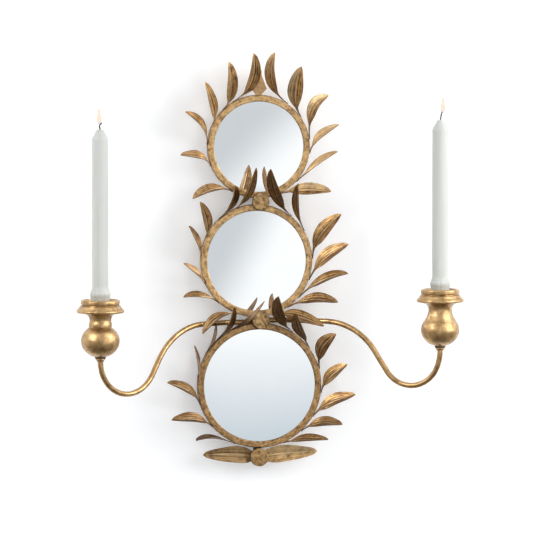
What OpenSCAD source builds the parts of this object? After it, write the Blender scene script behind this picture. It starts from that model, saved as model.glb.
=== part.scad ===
// Mirrored candle sconce: three round mirrors in a column, wreathed in metal leaves,
// with two bent arms that each hold a turned candle cup and a candle.
// Front view frame of the flat pieces: x to the right, y up, z forward from the wall.
// The part itself: +Z up, +Y into the wall, origin on the axis of the hanging eye,
// at the back face of the hanging plate.

/* [Mirrors] */
// Radius of the glass that shows in the top ring
top_mirror_r = 61.5; // [50:0.5:66]
// Radius of the glass that shows in the middle ring
middle_mirror_r = 68; // [56:0.5:74]
// Radius of the glass that shows in the bottom ring
bottom_mirror_r = 76.5; // [64:0.5:84]
// Thickness of each mirror glass
glass_t = 3; // [2:0.5:4]
// Thickness of each backing board
board_t = 3; // [2:0.5:4]
// Width of ring hidden in front of the edge of the glass
glass_lap = 4; // [2:0.5:5]

/* [Rings] */
// Width of the flat front of each ring
ring_w = 9; // [8:0.5:12]
// Depth of each ring from front to back
ring_depth = 12; // [11:0.5:16]
// Radius on the edges of each ring
ring_edge_r = 1.6; // [0.5:0.1:2]
// Thickness of the lip in front of the glass
ring_lip_t = 2.5; // [1.5:0.5:3.5]
// Gap between one ring and the next
ring_gap = 8; // [6.5:0.5:12]
// How far the middle ring stands to the left of the axis
middle_shift = 3; // [0:0.5:4]
// How far the bottom ring stands to the right of the axis
bottom_shift = 1; // [0:0.5:3]
// Length of each folded tab that holds a backing board
tab_l = 8; // [5:0.5:14]
// Thickness of each folded tab
tab_t = 1; // [0.6:0.1:1.4]

/* [Spine and hanger] */
// Width of the spine bar
spine_w = 10; // [8:0.5:12]
// Thickness of the spine bar from front to back
spine_t = 8; // [8:0.5:12]
// Thickness of the felt pads
pad_t = 2; // [1:0.5:4]
// Diameter of the felt pads
pad_d = 9; // [5:0.5:9]
// Thickness of the hanging plate
plate_t = 3; // [2:0.5:5]
// Width of the diamond of the hanging plate
plate_w = 22; // [16:0.5:28]
// Height of the diamond of the hanging plate
plate_h = 27.5; // [20:0.5:32]
// Diameter of the hole in the hanging eye
eye_d = 4.5; // [3:0.1:5]
// Width of the tab that holds the hanging eye
eye_tab_w = 8; // [7.5:0.5:11]
// How far the hanging plate stands forward of the back of the rings
plate_forward = 7; // [4:0.5:8]

/* [Discs] */
// Diameter of the disc between the top and middle rings
upper_disc_d = 23.5; // [18:0.5:28]
// Diameter of the disc between the middle and bottom rings
lower_disc_d = 24; // [18:0.5:28]
// Diameter of the disc below the bottom ring
bottom_disc_d = 25; // [20:0.5:30]
// How far the discs between the rings stand to the right of the axis
disc_shift = 2; // [0:0.5:2]
// Thickness of each disc
disc_t = 5; // [3:0.5:7]
// Width of the worn bevel round the front of each disc
disc_bevel = 1.2; // [0.4:0.1:2]
// Diameter of the stem behind each disc
disc_stem_d = 6; // [4:0.5:6]

/* [Arms] */
// Diameter of the arm rods
rod_d = 7.5; // [6:0.5:8]
// Distance of the left arm below the middle of the lower ring gap
left_arm_below_gap = 4; // [0:0.5:6]
// Distance of the right arm below the middle of the lower ring gap
right_arm_below_gap = 1.5; // [0:0.5:6]
// Distance from the axis to the corner where an arm turns forward
arm_corner_x = 42; // [30:1:55]
// Angle by which an arm turns forward from the wall
arm_forward = 33; // [20:1:45]
// Radius of the turn forward
arm_corner_r = 35; // [20:1:45]
// Straight end of an arm under its cup
arm_end_run = 4; // [3:0.5:10]

/* [Left arm bends] */
// Level run before the left arm drops
left_level_run = 33; // [25:1:60]
// Radius of the left shoulder
left_shoulder_r = 94; // [70:1:100]
// Angle by which the left arm drops
left_drop = 59; // [50:1:65]
// Straight slope of the left arm
left_slope = 20; // [10:1:40]
// Radius at the bottom of the left arm
left_bend_r = 51; // [35:1:55]
// Radius where the left arm rises to its cup
left_rise_r = 45; // [35:1:80]
// Angle from level at which the left arm changes to its rise
left_rise_from = 49; // [40:1:75]

/* [Right arm bends] */
// Level run before the right arm drops
right_level_run = 47; // [25:1:60]
// Radius of the right shoulder
right_shoulder_r = 87; // [70:1:100]
// Angle by which the right arm drops
right_drop = 56; // [50:1:65]
// Straight slope of the right arm
right_slope = 32; // [10:1:40]
// Radius at the bottom of the right arm
right_bend_r = 42; // [35:1:55]
// Radius where the right arm rises to its cup
right_rise_r = 60; // [35:1:80]
// Angle from level at which the right arm changes to its rise
right_rise_from = 66; // [40:1:75]

/* [Cups] */
// Diameter of the ball of each cup
cup_ball_d = 52; // [44:1:60]
// Height of the ball, from its flat foot to the neck above it
cup_ball_h = 45; // [40:1:50]
// Diameter of the foot of each cup
cup_foot_d = 14.6; // [12:0.2:18]
// Height of each cup
cup_h = 77; // [72:1:90]
// Diameter of the left neck
left_neck_d = 29.2; // [28:0.2:34]
// Diameter of the right neck
right_neck_d = 32; // [28:0.2:34]
// Diameter of the flange of each cup
flange_d = 64.4; // [60:0.2:72]
// Diameter of the lip of each cup
lip_d = 52.4; // [48:0.2:56]
// Wall of the lip of each cup
lip_wall = 5; // [3:0.5:8]
// Depth of the drip dish inside the lip
dish_depth = 3.5; // [2:0.5:5]
// Depth of the candle socket below the dish
socket_depth = 24; // [21:1:30]
// Thickness of the washer under each cup
washer_t = 2; // [1:0.5:4]
// Diameter of the washer under each cup
washer_d = 14.6; // [12:0.2:18]
// Height of the collar on each rod end
collar_h = 4; // [3:0.5:8]
// Diameter of the top of the collar
collar_d = 13; // [12:0.5:16]
// Diameter of the screw inside each cup
screw_d = 4; // [3:0.5:4]
// Depth of thread in each rod end
thread_depth = 8; // [5:0.5:10]

/* [Candles] */
// Diameter of each candle
candle_d = 22.2; // [20:0.2:24]
// Height of each candle above its cup
candle_h = 229; // [120:1:300]
// Diameter of the tip of each candle
candle_tip_d = 9.6; // [6:0.2:14]
// Height of the conical shoulder of each candle
candle_shoulder = 12; // [8:0.5:20]
// Diameter of the bulge of the self-fitting end
bulge_d = 28; // [26:0.2:30]
// Height of the bulge above the cup
bulge_z = 8.5; // [6:0.5:12]
// Diameter of the lower end of the candle
candle_foot_d = 19; // [16:0.2:20]
// Depth of the candle's end in its cup
candle_seat = 23; // [18:1:25]
// Number of flutes on the self-fitting end
flute_count = 14; // [8:1:18]
// Diameter of the wicks
wick_d = 1.8; // [1:0.1:3]
// Length of the left wick
left_wick_l = 8; // [6:0.5:20]
// Length of the right wick
right_wick_l = 15; // [6:0.5:20]

/* [Leaves] */
// Width of a ring leaf across its blade
leaf_w = 22; // [16:1:26]
// Width of the stem of a ring leaf
leaf_stem_w = 5; // [3:0.5:6]
// Thickness of the leaf sheet
leaf_t = 1; // [0.6:0.1:1.4]
// How far the tip of a ring leaf stands forward of its root
leaf_lift = 28; // [20:1:34]
// Depth of the fold along the middle of a leaf, as a share of its half width
leaf_fold = 0.3; // [0.1:0.05:0.4]
// Width of the two flat leaves beside the bottom disc
base_leaf_w = 23; // [18:1:28]
// Length of the two flat leaves beside the bottom disc
base_leaf_l = 74; // [60:1:80]

/* [Hidden] */

$fn = 64;
GOLD = "#a5834a";
GOLD_LIGHT = "#c09a58";
BRONZE = "#8a6233";
DARK = "#3a2c1c";
WAX = "#dfe3dc";
GLASS = "#cfd8dc";

// Clearances: seat is left between welded or seated faces, fit between sliding ones
seat = 0.05;
fit = 0.2;
overlap = 1;
rod_swell = 0.05;

// Depths forward of the back face of the hanging plate
ring_back = -plate_forward;
spine_front = ring_back - seat;
rod_f = spine_front - spine_t / 2;
wall_f = spine_front - spine_t - pad_t;
ring_front = ring_back + ring_depth;
glass_front = ring_front - ring_lip_t - seat;
board_front = glass_front - glass_t - seat;
board_back = board_front - board_t;
leaf_root_f = ring_front - ring_edge_r - leaf_stem_w / 2;

// Heights of the ring centres below the hanging eye; the diamond's corners stand above
// the ring by a share of its height, and its foot is cut to the ring's own curve
diamond_top = -4;
diamond_side_share = 0.3;
diamond_foot = 3.7;
diamond_bottom = diamond_top - plate_h;
spine_below_rim = 3;
top_ring_r = top_mirror_r + ring_w;
middle_ring_r = middle_mirror_r + ring_w;
bottom_ring_r = bottom_mirror_r + ring_w;
top_z = diamond_bottom - seat - top_ring_r;
middle_z = top_z - top_ring_r - ring_gap - middle_ring_r;
bottom_z = middle_z - middle_ring_r - ring_gap - bottom_ring_r;
upper_gap_z = top_z - top_ring_r - ring_gap / 2;
lower_gap_z = middle_z - middle_ring_r - ring_gap / 2;
bottom_disc_z = bottom_z - bottom_ring_r - seat - bottom_disc_d / 2;
spine_top = top_z + top_ring_r - spine_below_rim;
spine_bottom = bottom_disc_z - disc_stem_d / 2 - overlap;
left_arm_z = lower_gap_z - left_arm_below_gap;
right_arm_z = lower_gap_z - right_arm_below_gap;

// Arms: plan corner, then a drop, a slope, a bend and a rise in one upright plane
corner_tangent = arm_corner_r * tan(arm_forward / 2);

function arm_steps(level, shoulder_r, drop, slope, bend_r, rise_r, rise_from) = [
    [arm_corner_x - corner_tangent - spine_w / 2 - seat, arm_corner_r, arm_forward, 90],
    [level, shoulder_r, -drop, 0],
    [slope, bend_r, drop + rise_from, 0],
    [0, rise_r, 90 - rise_from, 0],
    [arm_end_run, 0, 0, 0]
];

left_steps = arm_steps(left_level_run, left_shoulder_r, left_drop, left_slope,
    left_bend_r, left_rise_r, left_rise_from);
right_steps = arm_steps(right_level_run, right_shoulder_r, right_drop, right_slope,
    right_bend_r, right_rise_r, right_rise_from);

// Reach along the upright plane and height gained by the steps after the plan corner
function step_reach(s, h) = s[0] * cos(h) + sign(s[2]) * s[1] * (sin(h + s[2]) - sin(h));
function step_rise(s, h) = s[0] * sin(h) + sign(s[2]) * s[1] * (cos(h) - cos(h + s[2]));
function path_reach(steps, i = 1, h = 0) =
    i == len(steps) ? 0 : step_reach(steps[i], h) + path_reach(steps, i + 1, h + steps[i][2]);
function path_rise(steps, i = 1, h = 0) =
    i == len(steps) ? 0 : step_rise(steps[i], h) + path_rise(steps, i + 1, h + steps[i][2]);

function arm_tip(steps, side, arm_z) = let (v = corner_tangent + path_reach(steps)) [
    side * (arm_corner_x + v * cos(arm_forward)),
    -(rod_f + v * sin(arm_forward)),
    arm_z + path_rise(steps)
];

left_tip = arm_tip(left_steps, -1, left_arm_z);
right_tip = arm_tip(right_steps, 1, right_arm_z);
lip_above_tip = washer_t + 2 * seat + cup_h;

// Cup outline, from the middle of the foot up: heights below the lip
lip_r = lip_d / 2;
flange_r = flange_d / 2;
foot_r = cup_foot_d / 2;
ball_r = cup_ball_d / 2;
ball_half_h = cup_ball_h / 2;
ball_foot_angle = -acos(foot_r / ball_r);
ball_z = -cup_h - ball_half_h * sin(ball_foot_angle);
ball_neck_angle = 38;
ball_facets = 16;
neck_z = -0.364 * cup_h;
neck_out = 7;
neck_up = 9;
neck_foot_out = 2.2;
neck_foot_below = 8;
bead_below = 7;
bead_half_h = 4.5;
bead_root = 1;
edge_facets = 5;
flange_z = -0.2 * cup_h;
flange_edge_r = 2;
flange_top = 4;
flange_slope = 3;
groove_z = -0.0974 * cup_h;
groove_in = 0.6;
groove_rise = 0.5;
lip_edge_r = 2;
dish_slope = 0.8;
dish_r = lip_r - lip_wall;
socket_mouth_z = -dish_depth;
socket_floor_z = socket_mouth_z - socket_depth;
collar_foot = 2.4;
screw_head_d = 2 * screw_d;
screw_head_h = 0.6 * screw_d;

// Candle outline: heights above the lip
candle_r = candle_d / 2;
bulge_r = bulge_d / 2;
candle_foot_r = candle_foot_d / 2;
bulge_top_z = bulge_z + 8;
bulge_edge = 1.5;
bulge_edge_h = 2.5;
candle_tip_edge = 1;
taper = (bulge_r - candle_foot_r) / (bulge_z + candle_seat);
socket_r = candle_foot_r + taper * (candle_seat + socket_mouth_z) + fit;
flute_r = 1.3;
flute_out = 0.72;
flute_above_bulge = 2;
wick_stand = 0.45;
wick_end = 0.3;
wick_bend_r = 4;

function lerp(a, b, t) = a + (b - a) * t;
function ease(t) = let (c = max(0, min(1, t))) c * c * (3 - 2 * c);
function unit(v) = v / norm(v);
function arc(cx, cy, rx, ry, from, to, n) =
    [for (i = [0:n]) let (a = lerp(from, to, i / n)) [cx + rx * cos(a), cy + ry * sin(a)]];

// A leaf is lofted: a folded strip carried along a curve from its root to its tip
leaf_stations = 12;
leaf_across = [-1, -0.55, 0, 0.55, 1];
leaf_back = [for (i = [len(leaf_across) - 1:-1:0]) leaf_across[i]];
leaf_tip_w = 4.4;
leaf_tip_share = 0.05;
leaf_edge_share = 0.6;
leaf_bow_lift = 0.55;
base_leaf_behind = 6;
base_leaf_bow = 5;
base_leaf_extra = 3;
left_base_leaf_rise = 4;
right_base_leaf_rise = 7;
base_leaf_turn = 82;
// Form of a blade: share of its length that is bare stem, its swell, which makes it
// widest nearer its root where it is low, its fullness at the root and at the tip, low
// for a full blade, and the share of its length in which it turns from edge to face
ring_leaf_form = [0.1, 1.3, 1.15, 0.58, 0.45];
base_leaf_form = [0, 0.75, 0.8, 0.45, 0];

function curve(p, t) = (1 - t) * (1 - t) * p[0] + 2 * t * (1 - t) * p[1] + t * t * p[2];
function curve_way(p, t) = unit((1 - t) * (p[1] - p[0]) + t * (p[2] - p[1]));
// Half the width of a blade, with its tip rounded off
function blade_half(t, w, form) = let (
    u = max(0, (t - form[0]) / (1 - form[0])),
    past = max(0, (t - 1 + leaf_tip_share) / leaf_tip_share),
    blade = w / 2 * pow(max(0, sin(180 * pow(u, form[1]))), lerp(form[2], form[3], u))
) sqrt(1 - 0.9 * past * past) * max(lerp(leaf_stem_w, leaf_tip_w, ease(t)) / 2, blade);

function leaf_section(p, t, w, roll, form) = let (
    way = curve_way(p, t),
    front = unit([0, 0, 1] - way[2] * way),
    out = cross(way, front),
    turn = form[4] > 0 ? roll * ease(t / form[4]) : roll,
    wide = cos(turn) * front + sin(turn) * out,
    face = sin(turn) * front - cos(turn) * out,
    h = blade_half(t, w, form),
    fold = leaf_fold * h * ease(t / 0.3),
    c = curve(p, t)
) concat(
    [for (s = leaf_across) c + wide * s * h + face * (fold * abs(s) + sheet_half(s))],
    [for (s = leaf_back) c + wide * s * h + face * (fold * abs(s) - sheet_half(s))]
);

function sheet_half(s) = leaf_t / 2 * lerp(1, leaf_edge_share, abs(s));

// The stations crowd towards the tip
module leaf_loft(p, w, roll, form) {
    m = 2 * len(leaf_across);
    points = [for (i = [0:leaf_stations])
        each leaf_section(p, sin(90 * i / leaf_stations), w, roll, form)];
    sides = [for (i = [0:leaf_stations - 1], j = [0:m - 1], k = [0, 1])
        let (a = i * m + j, b = i * m + (j + 1) % m, c = a + m, d = b + m)
        k == 0 ? [a, c, b] : [b, c, d]];
    caps = [for (j = [0:m / 2 - 2], k = [0, 1], e = [0, 1])
        let (o = e * leaf_stations * m, a = j, b = j + 1, c = m - 2 - j, d = m - 1 - j)
        k == 0 ? (e == 0 ? [o + a, o + b, o + d] : [o + a, o + d, o + b])
               : (e == 0 ? [o + b, o + c, o + d] : [o + b, o + d, o + c])];
    polyhedron(points = points, faces = concat(sides, caps));
}

// One leaf on the right of a ring: its root's angle round the ring, the heading and
// length of the line to its tip in the front view, the turn of its face forward, and
// how far it follows the ring before it bends away
module ring_leaf(ring_r, spec) {
    root_r = ring_r + 3 * seat + leaf_t / 2;
    lift = len(spec) > 5 ? spec[5] : leaf_lift;
    root = [root_r * cos(spec[0]), root_r * sin(spec[0]), leaf_root_f];
    along = [-sin(spec[0]), cos(spec[0]), 0];
    tip = root + [spec[2] * cos(spec[1]), spec[2] * sin(spec[1]), lift];
    bow = root + along * spec[2] * spec[4] + [0, 0, lift * leaf_bow_lift];
    leaf_loft([root, bow, tip], leaf_w, spec[3], ring_leaf_form);
}

module leaf_pair(ring_x, ring_z, ring_r, right, left) {
    color(BRONZE) facing() translate([ring_x, ring_z, 0]) {
        ring_leaf(ring_r, right);
        mirror([1, 0, 0]) ring_leaf(ring_r, left);
    }
}

// Leaves by ring and side, from the top down: root angle, heading, length, turn and bow,
// and the lift of the tip where it isn't the usual one
top_right = [[56, 107, 73.5, 31, 0.56], [35, 93, 69, 63, 0.44], [8, 70.5, 64, 34, 0.72],
    [-7, 47.5, 53, 17, 0.36], [-42, 38.5, 66.5, 12, 0.44], [-67, 4, 68.5, 44, 0.38, 25]];
top_left = [[60, 110, 71, 52, 0.52], [47, 93, 65, 51, 0.28], [28, 75, 58.5, 39, 0.12],
    [3, 53.5, 57, 26, 0.4], [-21, 20, 48, 24, 0.32], [-59, -7.5, 58.5, 27, 0.44]];
middle_right = [[52, 116.5, 73, 36, 0.4, 30], [32, 101, 66.5, 15, 0.44, 33],
    [2, 60.5, 70.5, 48, 0.44], [-20, 45, 70, 39, 0.48], [-41, 28, 72, 24, 0.52],
    [-56, 7, 65, 34, 0.48], [-73, -12.5, 68, 42, 0.3, 24]];
middle_left = [[69, 111.5, 60.5, 36, 0.12, 34], [48, 111, 49, 34, 0.6, 24], [25, 77, 51, 42, 0.24],
    [6, 64.5, 46.5, 23, 0.12], [-23, 42, 44, 16, 0.15], [-47, 11, 52.5, 18, 0.36],
    [-69, -26, 56, 21, 0.4]];
bottom_right = [[58, 115, 55.5, 37, 0.48], [37, 116, 54, 30, 0.44, 34], [15, 69.5, 52, 45, 0.56],
    [-7, 51.5, 50.5, 33, 0.42], [-30, 30, 62, 36, 0.36], [-47, 11, 52.5, 30, 0.44],
    [-67, 6, 57.5, 21, 0.28]];
bottom_left = [[64, 134.5, 56.5, 2, 0.13, 34], [48, 112.5, 49, 27, 0.4, 25],
    [31, 106.5, 44, 9, 0.42, 8], [8, 79.5, 46.5, 9, 0.18], [-17, 34, 58.5, 30, 0.36],
    [-40, 11.5, 60, 31, 0.32], [-67, 7, 58, 4, 0.6]];

module top_leaves(i) {
    leaf_pair(0, top_z, top_ring_r, top_right[i - 1], top_left[i - 1]);
}

module middle_leaves(i) {
    leaf_pair(-middle_shift, middle_z, middle_ring_r, middle_right[i - 1], middle_left[i - 1]);
}

module bottom_leaves(i) {
    leaf_pair(bottom_shift, bottom_z, bottom_ring_r, bottom_right[i - 1], bottom_left[i - 1]);
}

// Two broad leaves that start at the stem behind the bottom disc; the right one is a
// little longer and rises more
module base_leaves() {
    color(GOLD_LIGHT) facing() translate([0, bottom_disc_z, 0]) {
        base_leaf(base_leaf_l + base_leaf_extra, right_base_leaf_rise);
        mirror([1, 0, 0]) base_leaf(base_leaf_l, left_base_leaf_rise);
    }
}

module base_leaf(length, rise) {
    root = [disc_stem_d / 2 + 2 * seat, 0, ring_front - base_leaf_behind];
    bow = root + [length * 0.4, base_leaf_bow, 0];
    tip = root + [length, rise, base_leaf_behind];
    leaf_loft([root, bow, tip], base_leaf_w, base_leaf_turn, base_leaf_form);
}

// Turns the front view frame into the part's own frame
module facing() {
    rotate([90, 0, 0]) children();
}

module rounded_bar(w, d, r) {
    translate([r, 0]) square([w - 2 * r, d]);
    translate([0, r]) square([w, d - 2 * r]);
    for (x = [r, w - r], y = [r, d - r]) translate([x, y]) circle(r = r);
}

module ring(x, z, mirror_r) {
    color(GOLD) facing() translate([x, z, 0]) rotate_extrude() difference() {
        translate([mirror_r, ring_back]) rounded_bar(ring_w, ring_depth, ring_edge_r);
        translate([mirror_r - overlap, ring_back - overlap])
            square([glass_lap + overlap, glass_front + seat - ring_back + overlap]);
    }
}

module round_plate(x, z, mirror_r, back, t) {
    facing() translate([x, z, back]) cylinder(r = mirror_r + glass_lap - seat * 2, h = t);
}

module glass(x, z, mirror_r) {
    color(GLASS) round_plate(x, z, mirror_r, board_front + seat, glass_t);
}

module backing(x, z, mirror_r) {
    color(DARK) round_plate(x, z, mirror_r, board_back, board_t);
}

// Folded tab: foot on the back of the ring, leg down the rebate, toe on the board
module tab_profile(mirror_r) {
    wall = mirror_r + glass_lap - fit;
    foot = ring_back - seat - tab_t;
    toe = board_back - seat - tab_t;
    translate([wall - tab_t, foot]) square([tab_t + tab_l / 2, tab_t]);
    translate([wall - tab_t, foot]) square([tab_t, toe + tab_t - foot]);
    translate([wall - tab_l, toe]) square([tab_l, tab_t]);
}

module backing_tabs() {
    rows = [[0, top_z, top_mirror_r], [-middle_shift, middle_z, middle_mirror_r],
        [bottom_shift, bottom_z, bottom_mirror_r]];
    color(DARK) facing() for (row = rows, a = [45:90:315])
        translate([row[0], row[1], 0]) rotate(a)
            translate([0, tab_l / 2, 0]) rotate([90, 0, 0]) linear_extrude(tab_l) tab_profile(row[2]);
}

// Coin and stem in one turned outline
module disc(x, z, d, back) {
    front = back + disc_t;
    stem_r = disc_stem_d / 2;
    color(GOLD_LIGHT) facing() translate([x, z, 0]) rotate_extrude() polygon([
        [0, ring_back], [stem_r, ring_back], [stem_r, back], [d / 2, back],
        [d / 2, front - disc_bevel], [d / 2 - disc_bevel, front], [0, front]
    ]);
}

module hanging_plate() {
    side_x = plate_w / 2;
    side_y = diamond_bottom + plate_h * diamond_side_share;
    foot_y = diamond_bottom - diamond_foot;
    tab_x = eye_tab_w / 2;
    color(GOLD_LIGHT) facing() linear_extrude(plate_t) difference() {
        union() {
            polygon([[0, foot_y], [side_x, side_y], [tab_x, diamond_top], [tab_x, 0],
                [-tab_x, 0], [-tab_x, diamond_top], [-side_x, side_y]]);
            circle(d = eye_tab_w);
        }
        circle(d = eye_d);
        translate([0, top_z]) circle(r = top_ring_r + seat, $fn = 3 * $fn);
    }
}

module spine_bar() {
    color(BRONZE) translate([-spine_w / 2, -spine_front, spine_bottom])
        cube([spine_w, spine_t, spine_top - spine_bottom]);
}

module wall_pads() {
    color(DARK) facing() for (z = [spine_top - pad_d, middle_z, spine_bottom + pad_d])
        translate([0, z, wall_f]) cylinder(d = pad_d, h = pad_t - seat);
}

// Rod that runs, bends by a radius and angle in the plane given by its roll, and goes on.
// It swells by a hair where one stretch meets the next.
module rod_path(steps, d, i = 0) {
    if (i < len(steps)) {
        s = steps[i];
        if (i > 0) sphere(d = d + 2 * rod_swell);
        rotate([s[3], 0, 0]) {
            if (s[0] > 0) rotate([0, 90, 0]) cylinder(d = d, h = s[0]);
            translate([s[0], 0, 0]) {
                if (s[0] > 0 && s[1] > 0) sphere(d = d + 2 * rod_swell);
                if (s[1] > 0) rod_bend(s[1], s[2], d);
                translate([s[1] * sin(abs(s[2])), 0, sign(s[2]) * s[1] * (1 - cos(s[2]))])
                    rotate([0, -s[2], 0]) rotate([-s[3], 0, 0]) rod_path(steps, d, i + 1);
            }
        }
    }
}

module rod_bend(r, turn, d) {
    flip = turn < 0 ? 1 : 0;
    mirror([0, 0, flip]) translate([0, 0, r]) rotate([90, 0, 0])
        rotate([0, 0, -90]) rotate_extrude(angle = abs(turn)) translate([r, 0]) circle(d = d);
}

module arm(side, steps, tip, arm_z) {
    color(GOLD) difference() {
        translate([side * (spine_w / 2 + seat), -rod_f, arm_z])
            mirror([side < 0 ? 1 : 0, 0, 0]) rod_path(steps, rod_d);
        translate(tip - [0, 0, thread_depth]) cylinder(d = screw_d + 2 * seat, h = thread_depth + overlap);
    }
}

module at_tips(rise) {
    for (tip = [left_tip, right_tip]) translate(tip + [0, 0, rise]) children();
}

module arm_collars() {
    color(GOLD_LIGHT) at_tips(-collar_h) difference() {
        cylinder(d1 = rod_d + collar_foot, d2 = collar_d, h = collar_h);
        translate([0, 0, -overlap]) cylinder(d = rod_d + 2 * fit, h = collar_h + 2 * overlap);
    }
}

module cup_washers() {
    color(DARK) at_tips(seat) difference() {
        cylinder(d = washer_d, h = washer_t);
        translate([0, 0, -overlap]) cylinder(d = screw_d + 2 * fit, h = washer_t + 2 * overlap);
    }
}

module cup_screws() {
    floor_above_tip = lip_above_tip + socket_floor_z + seat;
    color(DARK) at_tips(0) {
        translate([0, 0, -thread_depth + 1]) cylinder(d = screw_d, h = floor_above_tip + thread_depth - 1);
        translate([0, 0, floor_above_tip]) cylinder(d = screw_head_d, h = screw_head_h);
    }
}

module cup_outline(neck_r, bead) {
    polygon(concat(
        [[0, -cup_h]],
        arc(0, ball_z, ball_r, ball_half_h, ball_foot_angle, ball_neck_angle, ball_facets),
        bead > 0
            ? arc(neck_r - bead_root, neck_z - bead_below, bead + bead_root, bead_half_h,
                -60, 60, edge_facets)
            : [[neck_r + neck_foot_out, neck_z - neck_foot_below],
                [neck_r + neck_foot_out / 3, neck_z - neck_foot_below / 2]],
        arc(neck_r + neck_out, neck_z, neck_out, neck_up, 180, 100, edge_facets + 1),
        arc(flange_r - flange_edge_r, flange_z, flange_edge_r, flange_edge_r, -75, 35, edge_facets),
        [[lip_r + flange_slope, flange_z + flange_top],
            [lip_r + dish_slope, groove_z - groove_rise], [lip_r - groove_in, groove_z]],
        arc(lip_r - lip_edge_r, groove_z + lip_edge_r + groove_rise, lip_edge_r, lip_edge_r,
            -60, 0, edge_facets - 2),
        arc(lip_r - lip_edge_r, -lip_edge_r, lip_edge_r, lip_edge_r, 0, 90, edge_facets - 1),
        [[dish_r + dish_slope, 0], [dish_r, -dish_depth], [0, -dish_depth]]
    ));
}

module cup(tip, neck_r, bead) {
    color(GOLD_LIGHT) translate(tip + [0, 0, lip_above_tip]) difference() {
        rotate_extrude() cup_outline(neck_r, bead);
        translate([0, 0, socket_floor_z]) cylinder(r = socket_r, h = socket_depth + overlap);
        translate([0, 0, -cup_h - overlap]) cylinder(d = screw_d + 2 * fit, h = cup_h);
    }
}

module candle(tip) {
    straight_top = candle_h - candle_shoulder;
    tip_r = candle_tip_d / 2;
    color(WAX) translate(tip + [0, 0, lip_above_tip]) difference() {
        rotate_extrude() polygon(concat(
            [[0, -candle_seat], [candle_foot_r, -candle_seat],
                [bulge_r - bulge_edge / 2, bulge_z - bulge_edge]],
            arc(bulge_r - bulge_edge, bulge_z, bulge_edge, bulge_edge_h, 0, 60, 3),
            [[candle_r + bulge_edge / 3, bulge_top_z - bulge_edge], [candle_r, bulge_top_z]],
            [[candle_r, straight_top], [tip_r, candle_h - candle_tip_edge]],
            [[tip_r - candle_tip_edge, candle_h], [0, candle_h]]
        ));
        for (i = [0:flute_count - 1]) rotate(i * 360 / flute_count)
            translate([candle_foot_r + flute_out, 0, -candle_seat - overlap])
                rotate([0, atan(taper), 0])
                    cylinder(r = flute_r, h = candle_seat + bulge_z + flute_above_bulge);
    }
}

module wick(tip, length, lean, curl) {
    color(DARK) translate(tip + [0, 0, lip_above_tip + candle_h + fit]) rotate([0, lean, 0])
        rotate([0, -90, 0]) rod_path([
            [length * wick_stand, wick_bend_r, curl, 180], [length * wick_end, 0, 0, 0]
        ], wick_d);
}

module top_ring() {
    ring(0, top_z, top_mirror_r);
}

module middle_ring() {
    ring(-middle_shift, middle_z, middle_mirror_r);
}

module bottom_ring() {
    ring(bottom_shift, bottom_z, bottom_mirror_r);
}

module top_mirror() {
    glass(0, top_z, top_mirror_r);
}

module middle_mirror() {
    glass(-middle_shift, middle_z, middle_mirror_r);
}

module bottom_mirror() {
    glass(bottom_shift, bottom_z, bottom_mirror_r);
}

module top_backing() {
    backing(0, top_z, top_mirror_r);
}

module middle_backing() {
    backing(-middle_shift, middle_z, middle_mirror_r);
}

module bottom_backing() {
    backing(bottom_shift, bottom_z, bottom_mirror_r);
}

module upper_disc() {
    disc(disc_shift, upper_gap_z, upper_disc_d, ring_front + seat);
}

module lower_disc() {
    disc(disc_shift, lower_gap_z, lower_disc_d, ring_front + seat);
}

module bottom_disc() {
    disc(0, bottom_disc_z, bottom_disc_d, ring_front);
}

module left_arm() {
    arm(-1, left_steps, left_tip, left_arm_z);
}

module right_arm() {
    arm(1, right_steps, right_tip, right_arm_z);
}

module left_cup() {
    cup(left_tip, left_neck_d / 2, 1.5);
}

module right_cup() {
    cup(right_tip, right_neck_d / 2, 0);
}

module left_candle() {
    candle(left_tip);
}

module right_candle() {
    candle(right_tip);
}

module left_wick() {
    wick(left_tip, left_wick_l, -10, 60);
}

module right_wick() {
    wick(right_tip, right_wick_l, 8, 10);
}

hanging_plate();
spine_bar();
wall_pads();
top_ring();
middle_ring();
bottom_ring();
top_mirror();
middle_mirror();
bottom_mirror();
top_backing();
middle_backing();
bottom_backing();
backing_tabs();
upper_disc();
lower_disc();
bottom_disc();
left_arm();
right_arm();
arm_collars();
cup_washers();
cup_screws();
left_cup();
right_cup();
left_candle();
right_candle();
left_wick();
right_wick();
top_leaves(1);  // top_leaves_1
top_leaves(2);  // top_leaves_2
top_leaves(3);  // top_leaves_3
top_leaves(4);  // top_leaves_4
top_leaves(5);  // top_leaves_5
top_leaves(6);  // top_leaves_6
middle_leaves(1);  // middle_leaves_1
middle_leaves(2);  // middle_leaves_2
middle_leaves(3);  // middle_leaves_3
middle_leaves(4);  // middle_leaves_4
middle_leaves(5);  // middle_leaves_5
middle_leaves(6);  // middle_leaves_6
middle_leaves(7);  // middle_leaves_7
bottom_leaves(1);  // bottom_leaves_1
bottom_leaves(2);  // bottom_leaves_2
bottom_leaves(3);  // bottom_leaves_3
bottom_leaves(4);  // bottom_leaves_4
bottom_leaves(5);  // bottom_leaves_5
bottom_leaves(6);  // bottom_leaves_6
bottom_leaves(7);  // bottom_leaves_7
base_leaves();
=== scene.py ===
import logging
import math
from dataclasses import dataclass
from enum import Enum
from functools import reduce
from typing import Optional

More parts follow.
